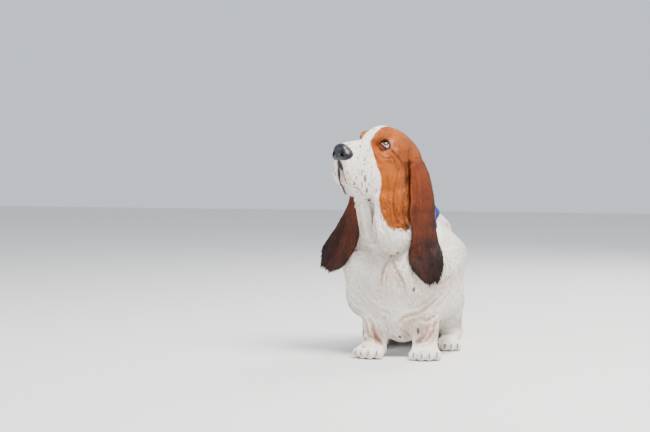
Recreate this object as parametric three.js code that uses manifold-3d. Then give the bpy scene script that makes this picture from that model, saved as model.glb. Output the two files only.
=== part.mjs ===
// A life-size sitting basset hound, in millimetres, +Z up.
// The origin is on the floor, in the middle of the flat that the rump sits on.
// The body faces -Y, +X is the dog's own left, and the head is raised and turned to its right.
import * as THREE from "three";
import { mergeVertices } from "three/addons/utils/BufferGeometryUtils.js";
import Module from "manifold-3d";

const wasm = await Module();
wasm.setup();

// Driving dimensions, of the animal and of its pose.
const HEAD_YAW = 39; // degrees that the head turns to the dog's right
const HEAD_PITCH = 9; // degrees that the muzzle is raised
const HEAD_CENTRE = [-34, -320, 507]; // between the ears, on the floor's frame
const GAP = 0.35; // left between nodes that touch
const EYE_RADIUS = 12;
const COLLAR_WIDTH = 28;
const COLLAR_THICKNESS = 3.5;
const EAR_THICKNESS = 5;

// The head's own axes: forward along the muzzle, to the dog's left, and up.
const yaw = THREE.MathUtils.degToRad(HEAD_YAW);
const pitch = THREE.MathUtils.degToRad(HEAD_PITCH);
const headForward = new THREE.Vector3(
  -Math.sin(yaw) * Math.cos(pitch),
  -Math.cos(yaw) * Math.cos(pitch),
  Math.sin(pitch),
);
const headLeft = new THREE.Vector3(Math.cos(yaw), -Math.sin(yaw), 0);
const headUp = new THREE.Vector3().crossVectors(headForward, headLeft);
const headFrame = new THREE.Matrix4()
  .makeBasis(headForward, headLeft, headUp)
  .setPosition(...HEAD_CENTRE);
const headInverse = headFrame.clone().invert();
const floorFrame = new THREE.Matrix4();

// Signed distances: negative inside a form.
function ballDistance(p, form) {
  const q = p.clone().sub(form.centre).applyMatrix4(form.unturn);
  const [a, b, c] = form.radii;
  const near = Math.hypot(q.x / a, q.y / b, q.z / c);
  const far = Math.hypot(q.x / (a * a), q.y / (b * b), q.z / (c * c));
  return far < 1e-9 ? -Math.min(a, b, c) : (near * (near - 1)) / far;
}

function limbDistance(p, form) {
  const along = form.end.clone().sub(form.centre);
  const from = p.clone().sub(form.centre);
  const share = THREE.MathUtils.clamp(from.dot(along) / along.lengthSq(), 0, 1);
  const radius = THREE.MathUtils.lerp(form.radii[0], form.radii[1], share);
  return from.addScaledVector(along, -share).length() - radius;
}

function smoothUnion(a, b, width) {
  const h = Math.max(width - Math.abs(a - b), 0) / width;
  return Math.min(a, b) - (h * h * width) / 4;
}

// A form is a ball (at, radii, turned in degrees) or a limb (from, to, radii at each end).
// A paired form has a twin on the other side of its own frame's middle plane.
function form(description) {
  const made = { blend: 24, ...description };
  made.centre = new THREE.Vector3(...(made.at ?? made.from));
  const turn = (made.turned ?? [0, 0, 0]).map(THREE.MathUtils.degToRad);
  made.unturn = new THREE.Matrix4()
    .makeRotationFromEuler(new THREE.Euler(...turn, "ZYX"))
    .invert();
  if (made.to) made.end = new THREE.Vector3(...made.to);
  made.distance = made.to ? limbDistance : ballDistance;
  return made;
}

const paired = true;

// Head, in its own axes: forward, left, up from the centre of the skull.
const headForms = [
  { name: "cranium", at: [-4, 0, 6], radii: [66, 55, 60] },
  { name: "occiput", at: [-50, 0, 6], radii: [25, 24, 26], blend: 26 },
  { name: "forehead", at: [30, 0, 26], radii: [36, 36, 38], blend: 26 },
  { name: "brow", at: [50, 34, 36], radii: [18, 14, 13], turned: [0, 0, -12], blend: 16, paired },
  { name: "bridge", from: [48, 0, 6], to: [134, 0, -13], radii: [28, 21.5], blend: 28 },
  { name: "muzzle", at: [94, 0, -34], radii: [56, 34, 38], blend: 22 },
  { name: "flew", at: [108, 21, -58], radii: [40, 19, 43], turned: [0, 14, 4], blend: 18, paired },
  { name: "flew_rear", at: [74, 34, -78], radii: [34, 15, 42], turned: [0, -14, 6], blend: 18, paired },
  { name: "temple", at: [-2, 42, -14], radii: [44, 22, 44], blend: 26, paired },
  { name: "cheek", at: [26, 42, -50], radii: [40, 21, 60], turned: [0, -8, 0], blend: 24, paired },
  { name: "jaw_skin", from: [14, 48, -66], to: [0, 56, -130], radii: [28, 29], blend: 24, paired },
  { name: "throat", from: [60, 0, -94], to: [22, -4, -200], radii: [31, 26], blend: 22 },
  { name: "dewlap", from: [0, 56, -120], to: [-4, 62, -206], radii: [30, 36], blend: 16, paired },
  { name: "near_lobe", from: [31, 43, -126], to: [20, 48, -194], radii: [24, 29], blend: 20 },
].map(form);

// What shows in the parting of the lips.
const mouthForms = [
  { name: "chin", at: [108, 0, -80], radii: [28, 16, 20], blend: 6 },
  { name: "lower_lip", at: [122, 0, -72], radii: [13, 13, 8], blend: 6 },
].map(form);

// Body, in the floor's axes.
const bodyForms = [
  { name: "neck_upper", from: [-6, -286, 478], to: [-4, -276, 400], radii: [54, 60], blend: 26 },
  { name: "neck_lower", from: [-4, -276, 400], to: [0, -282, 308], radii: [63, 82], blend: 26 },
  { name: "nape", from: [10, -244, 440], to: [15, -206, 352], radii: [35, 49], blend: 26 },
  { name: "blade", at: [48, -184, 314], radii: [52, 58, 38], turned: [-20, 0, 0], blend: 34, paired },
  { name: "withers", at: [0, -176, 292], radii: [94, 70, 46], turned: [-38, 0, 0], blend: 36 },
  { name: "ribs", at: [0, -196, 208], radii: [138, 160, 106], turned: [-36, 0, 0], blend: 26 },
  { name: "breast", at: [0, -312, 200], radii: [116, 80, 84], turned: [-14, 0, 0], blend: 24 },
  { name: "brisket", at: [0, -296, 106], radii: [60, 72, 74], blend: 34 },
  { name: "shoulder", at: [100, -256, 230], radii: [50, 70, 84], turned: [-16, 0, 0], blend: 30, paired },
  { name: "loose_skin", at: [128, -250, 256], radii: [24, 44, 30], turned: [-14, 0, 0], blend: 20, paired },
  { name: "upper_arm", from: [106, -312, 232], to: [98, -276, 156], radii: [46, 40], blend: 28, paired },
  { name: "loin", at: [0, -96, 166], radii: [108, 150, 104], turned: [-36, 0, 0], blend: 50 },
  { name: "rump", at: [0, -6, 80], radii: [86, 84, 86], blend: 40 },
  { name: "belly", at: [0, -150, 92], radii: [84, 110, 66], turned: [-14, 0, 0], blend: 40 },
  { name: "thigh", at: [76, -70, 104], radii: [36, 104, 80], turned: [-16, 0, 4], blend: 30, paired },
  { name: "knee", from: [86, -120, 118], to: [88, -150, 106], radii: [40, 36], blend: 26, paired },
  { name: "shank", from: [90, -146, 92], to: [84, -30, 34], radii: [32, 24], blend: 20, paired },
  { name: "hock", from: [84, -22, 26], to: [90, -124, 22], radii: [24, 23], blend: 16, paired },
  { name: "foreleg", from: [76, -306, 168], to: [63, -330, 44], radii: [36, 27], blend: 24, paired },
  { name: "elbow", at: [104, -270, 140], radii: [40, 48, 46], blend: 40, paired },
  { name: "pastern", from: [63, -330, 62], to: [66, -342, 30], radii: [29, 26], blend: 18, paired },
].map(form);

// Paws: a pad of flesh with four toes, in the floor's axes, one list for each pair of feet.
const pawSizes = {
  fore: { at: [67, -352, 0], length: 92, width: 70, height: 44, splay: 12 },
  hind: { at: [93, -164, 0], length: 96, width: 62, height: 38, splay: 10 },
};
const TOES = 4;
function inPaw(paw, along, across, up) {
  const splay = THREE.MathUtils.degToRad(paw.splay);
  const forward = new THREE.Vector3(Math.sin(splay), -Math.cos(splay), 0);
  const outward = new THREE.Vector3(Math.cos(splay), Math.sin(splay), 0);
  return new THREE.Vector3(...paw.at)
    .addScaledVector(forward, along)
    .addScaledVector(outward, across)
    .setZ(up)
    .toArray();
}
function toesOf(paw) {
  return Array.from({ length: TOES }, (_, toe) => {
    const across = (toe - (TOES - 1) / 2) * paw.width * 0.25;
    const reach = paw.length * (Math.abs(toe - 1.5) < 1 ? 0.36 : 0.26);
    return {
      start: inPaw(paw, paw.length * 0.05, across * 0.8, paw.height * 0.5),
      end: inPaw(paw, reach, across * 1.08, paw.height * 0.3),
      radius: paw.height * 0.32,
    };
  });
}
function pawForms(paw) {
  const made = [
    {
      name: "paw",
      at: inPaw(paw, -paw.length * 0.08, 0, paw.height * 0.42),
      radii: [paw.width * 0.46, paw.length * 0.42, paw.height * 0.56],
      turned: [0, 0, paw.splay],
      blend: 16,
      paired,
    },
  ];
  for (const { start, end, radius } of toesOf(paw))
    made.push({ name: "toe", from: start, to: end, radii: [radius * 0.94, radius], blend: 5, paired });
  return made.map(form);
}
bodyForms.push(...pawForms(pawSizes.fore), ...pawForms(pawSizes.hind));

// Tail, laid on the floor behind the rump, swept to the dog's right.
const tailRoute = [
  [0, 62, 76],
  [-4, 112, 44],
  [-14, 172, 24],
  [-32, 228, 17],
  [-60, 276, 13],
  [-94, 310, 9],
];
const tailRadii = [34, 25, 21, 17, 13, 8];
for (let joint = 0; joint + 1 < tailRoute.length; joint++) {
  bodyForms.push(
    form({
      name: "tail",
      from: tailRoute[joint],
      to: tailRoute[joint + 1],
      radii: [tailRadii[joint], tailRadii[joint + 1]],
      blend: joint ? 8 : 24,
    }),
  );
}

// Hollows and creases, taken out of the flesh.
const headHollows = [
  { name: "eye_socket", at: [57, 39, 12], radii: [17, 12, 12], blend: 10, paired },
  { name: "lip_parting", from: [158, 0, -44], to: [120, 0, -112], radii: [3, 13], blend: 6 },
  { name: "lip_edge", from: [118, 14, -104], to: [66, 32, -128], radii: [7, 7], blend: 8, paired },
  { name: "mouth_corner", from: [84, 44, -118], to: [68, 49, -122], radii: [6, 5], blend: 8, paired },
  { name: "near_fold", from: [60, 27, -120], to: [8, 27, -236], radii: [5, 8], blend: 10 },
  { name: "far_fold", from: [58, -34, -134], to: [28, -26, -216], radii: [7, 9], blend: 12 },
  { name: "cheek_fold", from: [-22, 66, -26], to: [-24, 84, -150], radii: [6, 8], blend: 14, paired },
].map(form);
const bodyHollows = [
  { name: "armpit", from: [44, -372, 120], to: [50, -352, 44], radii: [7, 9], blend: 16, paired },
  { name: "flank", from: [112, -176, 176], to: [92, -196, 70], radii: [10, 16], blend: 24, paired },
  { name: "chest_fold", from: [0, -404, 268], to: [8, -398, 180], radii: [4, 6], blend: 14 },
].map(form);

const mirrored = new THREE.Vector3();
function gather(distance, point, forms, carve) {
  let d = distance;
  for (const f of forms) {
    const p = f.paired ? mirrored.copy(point).setY(point.y) : point;
    const q = f.paired ? foldOver(p, f) : p;
    const own = f.distance(q, f);
    d = carve ? -smoothUnion(-d, own, f.blend) : smoothUnion(d, own, f.blend);
  }
  return d;
}

// Folds a point onto the side that holds the described one of a pair.
const headSet = new Set([...headForms, ...headHollows, ...mouthForms]);
function foldOver(p, f) {
  return headSet.has(f)
    ? new THREE.Vector3(p.x, Math.abs(p.y), p.z)
    : new THREE.Vector3(Math.abs(p.x), p.y, p.z);
}

const FAR = 1e4;
function trunk(point) {
  return gather(FAR, point, bodyForms, false);
}
function flesh(point) {
  const local = point.clone().applyMatrix4(headInverse);
  let d = trunk(point);
  d = smoothUnion(d, gather(FAR, local, headForms, false), 30);
  d = gather(d, local, headHollows, true);
  d = gather(d, local, mouthForms, false);
  d = gather(d, point, bodyHollows, true);
  return d;
}

function gradient(field, p, step) {
  const g = new THREE.Vector3();
  for (const axis of ["x", "y", "z"]) {
    const ahead = p.clone();
    const behind = p.clone();
    ahead[axis] += step;
    behind[axis] -= step;
    g[axis] = (field(ahead) - field(behind)) / (2 * step);
  }
  return g;
}

// Surface nets: one vertex in each cell that the surface crosses, drawn onto the surface inside its cell.
const CELL_RIM = 0.04;
function surfaceOf(field, low, high, cell) {
  const count = [0, 1, 2].map((k) => Math.ceil((high[k] - low[k]) / cell) + 1);
  const index = (i, j, k) => i + count[0] * (j + count[1] * k);
  const values = new Float64Array(count[0] * count[1] * count[2]);
  const p = new THREE.Vector3();
  for (let k = 0; k < count[2]; k++)
    for (let j = 0; j < count[1]; j++)
      for (let i = 0; i < count[0]; i++) {
        const rim = [i, j, k].some((n, a) => n === 0 || n === count[a] - 1);
        p.set(low[0] + i * cell, low[1] + j * cell, low[2] + k * cell);
        const value = rim ? FAR : field(p);
        values[index(i, j, k)] = value === 0 ? 1e-6 : value;
      }
  const positions = [];
  const vertexOf = new Map();
  const corners = [];
  for (let n = 0; n < 8; n++) corners.push([n & 1, (n >> 1) & 1, (n >> 2) & 1]);
  const edges = [];
  for (let a = 0; a < 8; a++)
    for (const bit of [1, 2, 4]) if (!(a & bit)) edges.push([a, a | bit]);
  for (let k = 0; k + 1 < count[2]; k++)
    for (let j = 0; j + 1 < count[1]; j++)
      for (let i = 0; i + 1 < count[0]; i++) {
        const v = corners.map(([x, y, z]) => values[index(i + x, j + y, k + z)]);
        const inside = v.filter((value) => value < 0).length;
        if (inside === 0 || inside === 8) continue;
        const sum = new THREE.Vector3();
        let crossings = 0;
        for (const [a, b] of edges) {
          if (v[a] < 0 === v[b] < 0) continue;
          const share = THREE.MathUtils.clamp(v[a] / (v[a] - v[b]), 0, 1);
          for (const [m, axis] of ["x", "y", "z"].entries())
            sum[axis] += corners[a][m] + share * (corners[b][m] - corners[a][m]);
          crossings++;
        }
        sum.divideScalar(crossings);
        const corner = new THREE.Vector3(low[0] + i * cell, low[1] + j * cell, low[2] + k * cell);
        const at = corner.clone().addScaledVector(sum, cell);
        const least = corner.clone().addScalar(CELL_RIM * cell);
        const most = least.clone().addScalar((1 - 2 * CELL_RIM) * cell);
        for (let pass = 0; pass < 3; pass++) {
          const g = gradient(field, at, 0.2);
          if (g.lengthSq() < 0.04) break;
          at.addScaledVector(g, (-field(at) / g.lengthSq()) * 0.9).clamp(least, most);
        }
        vertexOf.set(index(i, j, k), positions.length / 3);
        positions.push(at.x, at.y, at.z);
      }
  const triangles = [];
  const steps = [index(1, 0, 0), index(0, 1, 0), index(0, 0, 1)];
  for (let k = 0; k + 1 < count[2]; k++)
    for (let j = 0; j + 1 < count[1]; j++)
      for (let i = 0; i + 1 < count[0]; i++) {
        const here = index(i, j, k);
        for (let axis = 0; axis < 3; axis++) {
          if ([i, j, k].some((n, other) => other !== axis && n === 0)) continue;
          const next = here + steps[axis];
          if (values[here] < 0 === values[next] < 0) continue;
          const du = steps[(axis + 1) % 3];
          const dv = steps[(axis + 2) % 3];
          const ring = [here - du - dv, here - dv, here, here - du].map((c) => vertexOf.get(c));
          if (values[here] >= 0) ring.reverse();
          const [a, b, c, d] = ring;
          triangles.push(a, b, c, a, c, d);
        }
      }
  return solidFrom(positions, triangles);
}

// True where each edge has one triangle on each side.
function closesOnce(triangles) {
  const edges = new Set();
  for (let n = 0; n < triangles.length; n += 3)
    for (let k = 0; k < 3; k++) {
      const key = triangles[n + k] + "," + triangles[n + ((k + 1) % 3)];
      if (edges.has(key)) return false;
      edges.add(key);
    }
  return true;
}

function solidFrom(positions, triangles) {
  return new wasm.Manifold(
    new wasm.Mesh({
      numProp: 3,
      vertProperties: new Float32Array(positions),
      triVerts: new Uint32Array(triangles),
    }),
  );
}

// A closed three.js geometry as a solid, with its shared vertices merged.
function solidOf(geometry) {
  const plain = geometry.clone();
  plain.deleteAttribute("normal");
  plain.deleteAttribute("uv");
  const merged = mergeVertices(plain, 1e-4);
  return solidFrom(merged.attributes.position.array, merged.index.array);
}

function positionsOf(solid) {
  const mesh = solid.getMesh();
  const geometry = new THREE.BufferGeometry();
  geometry.setAttribute("position", new THREE.BufferAttribute(new Float32Array(mesh.vertProperties), 3));
  geometry.setIndex(new THREE.BufferAttribute(new Uint32Array(mesh.triVerts), 1));
  return geometry;
}

function geometryOf(solid) {
  const geometry = positionsOf(solid);
  geometry.computeVertexNormals();
  return geometry;
}

// A solid whose surface lies a little further out, for cutting a neighbour clear of it.
function grown(solid, by) {
  const geometry = geometryOf(solid);
  const position = geometry.attributes.position;
  const normal = geometry.attributes.normal;
  for (let n = 0; n < position.count; n++)
    position.setXYZ(
      n,
      position.getX(n) + normal.getX(n) * by,
      position.getY(n) + normal.getY(n) * by,
      position.getZ(n) + normal.getZ(n) * by,
    );
  return solidFrom(position.array, geometry.index.array);
}

// The largest closed surface, its corners drawn to a fine lattice, without the slivers that a cut leaves.
// Where two sheets of it share an edge, what is asked for in its place is given back.
const LATTICE = 64; // steps in a millimetre
function largest(solid, otherwise) {
  const [piece] = solid.decompose().sort((a, b) => b.volume() - a.volume());
  const geometry = positionsOf(piece);
  const position = geometry.attributes.position;
  position.array.forEach((value, n) => (position.array[n] = Math.round(value * LATTICE) / LATTICE));
  const merged = mergeVertices(geometry, 0.1 / LATTICE);
  const corners = merged.index.array;
  const kept = new Map();
  for (let n = 0; n < corners.length; n += 3) {
    const [a, b, c] = corners.slice(n, n + 3);
    if (a === b || b === c || c === a) continue;
    const key = [a, b, c].sort((i, j) => i - j).join();
    if (kept.has(key)) kept.delete(key);
    else kept.set(key, [a, b, c]);
  }
  const triangles = [...kept.values()].flat();
  if (closesOnce(triangles)) return solidFrom(merged.attributes.position.array, triangles);
  return otherwise === undefined ? piece : otherwise;
}

// The plane that parts the head from the neck runs from the nape to under the chin.
const NAPE = [-104, -6];
const UNDER_CHIN = [72, -142];
const headPlane = headFrame
  .clone()
  .multiply(new THREE.Matrix4().makeTranslation(NAPE[0], 0, NAPE[1]))
  .multiply(new THREE.Matrix4().makeRotationY(-Math.atan2(UNDER_CHIN[1] - NAPE[1], UNDER_CHIN[0] - NAPE[0])));

// The plane at the neck's base rises from the breast to the withers.
const NECK_BASE = [0, -290, 304];
const NECK_BASE_TILT = 30;
const neckPlane = new THREE.Matrix4()
  .makeTranslation(...NECK_BASE)
  .multiply(new THREE.Matrix4().makeRotationX(THREE.MathUtils.degToRad(NECK_BASE_TILT)));

// A block between two corners in a frame, grown on every side by the clearance asked for.
function block({ frame = floorFrame, low, high }, by = 0) {
  const size = high.map((h, k) => h - low[k] + 2 * by);
  const geometry = new THREE.BoxGeometry(...size);
  geometry.translate(...high.map((h, k) => (h + low[k]) / 2));
  geometry.applyMatrix4(frame);
  return solidOf(geometry);
}

function mirrorBlock({ low, high }) {
  return { low: [-high[0], low[1], low[2]], high: [-low[0], high[1], high[2]] };
}

// The blocks that part the flesh into nodes.
const WIDE = 600;
const aboveHeadPlane = { frame: headPlane, low: [-WIDE, -WIDE, GAP / 2], high: [WIDE, WIDE, WIDE] };
const belowHeadPlane = { frame: headPlane, low: [-WIDE, -WIDE, -WIDE], high: [WIDE, WIDE, -GAP / 2] };
const aboveNeckPlane = { frame: neckPlane, low: [-WIDE, -WIDE, GAP / 2], high: [WIDE, WIDE, WIDE] };
const belowNeckPlane = { frame: neckPlane, low: [-WIDE, -WIDE, -WIDE], high: [WIDE, WIDE, -GAP / 2] };
const aboveFloor = { low: [-WIDE, -WIDE, 0], high: [WIDE, WIDE, WIDE] };
const limbBlocks = {
  foreleg: { low: [44, -425, 46], high: [200, -240, 172] },
  forepaw: { low: [20, -445, -20], high: [200, -290, 46 - GAP] },
  hindleg: { low: [66, -212, 46], high: [220, 60, 205] },
  hindfoot: { low: [66, -250, -20], high: [220, 40, 46 - GAP] },
};
const tailBlock = { low: [-190, 88, -20], high: [120, 360, 130] };

// A grid can meet two sheets of the surface in one cell, which doesn't close, so it is tried again a little
// shifted. What is kept lies in every one of the given blocks.
const GRID_SHIFTS = 30;
function closedSurface(field, low, high, cell, blocks = []) {
  for (let shift = 0; shift < GRID_SHIFTS; shift++) {
    const start = low.map((v, k) => v - cell * ((shift * (0.37 + 0.21 * k)) % 1));
    let solid = surfaceOf(field, start, high, cell);
    for (const b of blocks) solid = solid.intersect(block(b));
    const made = largest(solid, null);
    if (made) return made;
  }
  throw new Error("two sheets of the surface share an edge");
}

// The flesh inside a box, above the floor and in every one of the given blocks.
function share(low, high, cell, blocks) {
  return closedSurface(flesh, low, high, cell, [aboveFloor, ...blocks]);
}

const solids = new Map();
const WHITE_COAT = { color: 0xe6ddd0, roughness: 0.85 };
const looks = {
  head: { color: 0xd9bfa6, roughness: 0.85 },
  ear_left: { color: 0x55291a, roughness: 0.75 },
  ear_right: { color: 0x55291a, roughness: 0.75 },
  nose: { color: 0x0f0f12, roughness: 0.3 },
  eye_left: { color: 0x24120b, roughness: 0.1 },
  eye_right: { color: 0x24120b, roughness: 0.1 },
  collar: { color: 0x0c2a78, roughness: 0.8 },
};

// Nose: its leather, with a wing and a nostril on each side.
const noseForms = [
  { name: "pad", at: [138, 0, -19], radii: [24, 26, 23] },
  { name: "wing", at: [138, 18, -26], radii: [18, 14, 14], blend: 8, paired },
  { name: "tip", at: [150, 0, -10], radii: [11, 19, 12], blend: 10 },
].map(form);
noseForms.forEach((f) => headSet.add(f));
function nose(point) {
  return gather(FAR, point.clone().applyMatrix4(headInverse), noseForms, false);
}
const inHead = (...at) => new THREE.Vector3(...at).applyMatrix4(headFrame);
const noseMiddle = inHead(144, 0, -14);
const around = (centre, reach, sign) => centre.toArray().map((v) => v + sign * reach);

// A closed tube along a curve through points of the head's axes.
function headTube(points, radius, { closed = false, sides = 6, steps = 8 } = {}) {
  const section = new THREE.Shape();
  section.absellipse(0, 0, radius, radius, 0, 2 * Math.PI);
  const extrudePath = new THREE.CatmullRomCurve3(points.map((p) => new THREE.Vector3(...p)), closed);
  const curveSegments = sides / 2; // an ellipse takes twice as many
  const options = { curveSegments, steps, extrudePath, bevelEnabled: false };
  const geometry = new THREE.ExtrudeGeometry(section, options);
  geometry.applyMatrix4(headFrame);
  return solidOf(geometry);
}
const NOSTRIL_RADIUS = 4.4;
const SLIT_RADIUS = 1.8;
let noseSolid = closedSurface(nose, around(noseMiddle, 36, -1), around(noseMiddle, 36, 1), 7.4);
for (const side of [1, -1]) {
  const nostril = [[168, side * 8, -18], [158, side * 10, -20], [147, side * 11, -22]];
  const slit = [[160, side * 13, -24], [152, side * 23, -29], [138, side * 34, -30]];
  noseSolid = noseSolid.subtract(headTube(nostril, NOSTRIL_RADIUS, { sides: 8, steps: 3 }));
  noseSolid = noseSolid.subtract(headTube(slit, SLIT_RADIUS, { steps: 4 }));
}
const groove = [[164, 0, -18], [160, 0, -28], [154, 0, -46]];
noseSolid = noseSolid.subtract(headTube(groove, SLIT_RADIUS, { steps: 3 }));
noseSolid = largest(noseSolid);

// Eyes, and a rim of lid round each, drooping below it.
const EYE_AT = [42, 37, 14];
const EYE_OUT = new THREE.Vector3(0.62, 0.76, 0.18).normalize();
function eyeCentre(side) {
  return [EYE_AT[0], side * EYE_AT[1], EYE_AT[2]];
}
function eyeSolid(side) {
  const geometry = new THREE.SphereGeometry(EYE_RADIUS, 12, 8);
  geometry.applyMatrix4(new THREE.Matrix4().makeTranslation(...eyeCentre(side)));
  geometry.applyMatrix4(headFrame);
  return solidOf(geometry);
}
const LID = { halfWidth: 14, above: 8.5, below: 12, thickness: 3, stand: 7, stops: 12 };
function lidSolid(side) {
  const out = EYE_OUT.clone().multiply(new THREE.Vector3(1, side, 1));
  const across = new THREE.Vector3(0, 0, 1).cross(out).normalize();
  const up = out.clone().cross(across).normalize();
  const ring = [];
  for (let n = 0; n < LID.stops; n++) {
    const turn = (2 * Math.PI * n) / LID.stops;
    const height = Math.sin(turn) * (Math.sin(turn) > 0 ? LID.above : LID.below);
    const stop = new THREE.Vector3(...eyeCentre(side))
      .addScaledVector(out, LID.stand * (1 - 0.45 * Math.cos(turn) ** 2))
      .addScaledVector(across, Math.cos(turn) * LID.halfWidth)
      .addScaledVector(up, height);
    ring.push(stop.toArray());
  }
  return headTube(ring, LID.thickness, { closed: true, steps: 2 * LID.stops });
}

// Ears: a curved leaf of skin hung along a route, given from root to tip.
const ears = {
  left: {
    route: [
      [14, -302, 518],
      [38, -314, 494],
      [52, -326, 462],
      [59, -336, 425],
      [62, -344, 385],
      [59, -352, 340],
      [62, -360, 296],
      [73, -366, 252],
      [90, -372, 194],
    ],
    // Where the front edge points, in degrees round from +X.
    front: [-129, -132, -138, -142, -146, -150, -154, -156],
    width: [46, 62, 68, 74, 88, 92, 88, 66],
    curl: [115, 100, 85, 75, 65, 55, 45, 35],
  },
  right: {
    route: [
      [-50, -256, 500],
      [-78, -264, 478],
      [-112, -280, 440],
      [-134, -296, 396],
      [-143, -310, 346],
      [-151, -324, 298],
      [-169, -334, 254],
      [-188, -340, 222],
    ],
    front: [-129, -122, -105, -80, -50, -32, -22, -18],
    width: [44, 56, 70, 84, 98, 106, 102, 76],
    curl: [120, 110, 90, 75, 60, 50, 40, 35],
  },
};
const EAR_ROWS = 18;
const EAR_COLUMNS = 8;
const EAR_CLEARANCE = 4;
const EAR_ROOT_SHARE = 0.16;
function sampled(list, share) {
  const at = share * (list.length - 1);
  const n = Math.min(Math.floor(at), list.length - 2);
  return THREE.MathUtils.lerp(list[n], list[n + 1], at - n);
}
function earSolid(ear, side) {
  const route = new THREE.CatmullRomCurve3(ear.route.map((p) => new THREE.Vector3(...p)));
  const middle = [];
  for (let row = 0; row <= EAR_ROWS; row++) {
    const share = row / EAR_ROWS;
    const angle = THREE.MathUtils.degToRad(sampled(ear.front, share));
    const tangent = route.getTangentAt(share);
    const across = new THREE.Vector3(Math.cos(angle), Math.sin(angle), 0);
    across.addScaledVector(tangent, -across.dot(tangent)).normalize();
    const outward = tangent.clone().cross(across).multiplyScalar(-side);
    const rounding = Math.sqrt(1 - THREE.MathUtils.smoothstep(share, 0.84, 1.02) ** 2 * 0.9);
    const half = (sampled(ear.width, share) / 2) * rounding;
    const span = THREE.MathUtils.degToRad(sampled(ear.curl, share)) / 2;
    const line = [];
    for (let column = 0; column <= EAR_COLUMNS; column++) {
      const v = (2 * column) / EAR_COLUMNS - 1;
      const radius = half / span;
      const p = route
        .getPointAt(share)
        .addScaledVector(across, radius * Math.sin(v * span))
        .addScaledVector(outward, radius * (Math.cos(v * span) - 1));
      const rooted = THREE.MathUtils.smoothstep(share, 0.02, EAR_ROOT_SHARE);
      const clear = THREE.MathUtils.lerp(-14, EAR_THICKNESS / 2 + EAR_CLEARANCE, rooted);
      for (let pass = 0; pass < 4; pass++) {
        const d = flesh(p);
        if (d < clear) p.addScaledVector(gradient(flesh, p, 1).normalize(), (clear - d) * 0.8);
      }
      line.push(p);
    }
    middle.push(line);
  }
  return leaf(middle, (row, column) => {
    const rim = Math.min(1, (EAR_ROWS - row) / 2, (Math.min(column, EAR_COLUMNS - column) + 0.7) / 1.7);
    return EAR_THICKNESS * (0.4 + 0.6 * rim);
  });
}

// A closed sheet round a grid of points, split into the same triangles on both faces.
function leaf(middle, thicknessAt) {
  const rows = middle.length;
  const columns = middle[0].length;
  const positions = [[], []];
  for (let r = 0; r < rows; r++)
    for (let c = 0; c < columns; c++) {
      const alongRow = middle[Math.min(r + 1, rows - 1)][c].clone().sub(middle[Math.max(r - 1, 0)][c]);
      const alongColumn = middle[r][Math.min(c + 1, columns - 1)].clone().sub(middle[r][Math.max(c - 1, 0)]);
      const normal = alongRow.cross(alongColumn).normalize();
      for (const [face, sign] of [1, -1].entries()) {
        const skin = middle[r][c].clone().addScaledVector(normal, (sign * thicknessAt(r, c)) / 2);
        positions[face].push(...skin.toArray());
      }
    }
  const back = rows * columns;
  const at = (r, c) => r * columns + c;
  const triangles = [];
  for (let r = 0; r + 1 < rows; r++)
    for (let c = 0; c + 1 < columns; c++) {
      const [a, b, d, e] = [at(r, c), at(r + 1, c), at(r + 1, c + 1), at(r, c + 1)];
      triangles.push(a, b, d, a, d, e);
      triangles.push(back + a, back + d, back + b, back + a, back + e, back + d);
    }
  const rim = [];
  for (let c = 0; c + 1 < columns; c++) rim.push(at(0, c));
  for (let r = 0; r + 1 < rows; r++) rim.push(at(r, columns - 1));
  for (let c = columns - 1; c > 0; c--) rim.push(at(rows - 1, c));
  for (let r = rows - 1; r > 0; r--) rim.push(at(r, 0));
  rim.forEach((a, n) => {
    const b = rim[(n + 1) % rim.length];
    triangles.push(a, b, back + b, a, back + b, back + a);
  });
  const solid = solidFrom([...positions[0], ...positions[1]], triangles);
  return solid.volume() < 0 ? solidFrom([...positions[0], ...positions[1]], flipped(triangles)) : solid;
}
function flipped(triangles) {
  const turned = triangles.slice();
  for (let n = 0; n < turned.length; n += 3) [turned[n + 1], turned[n + 2]] = [turned[n + 2], turned[n + 1]];
  return turned;
}

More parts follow.
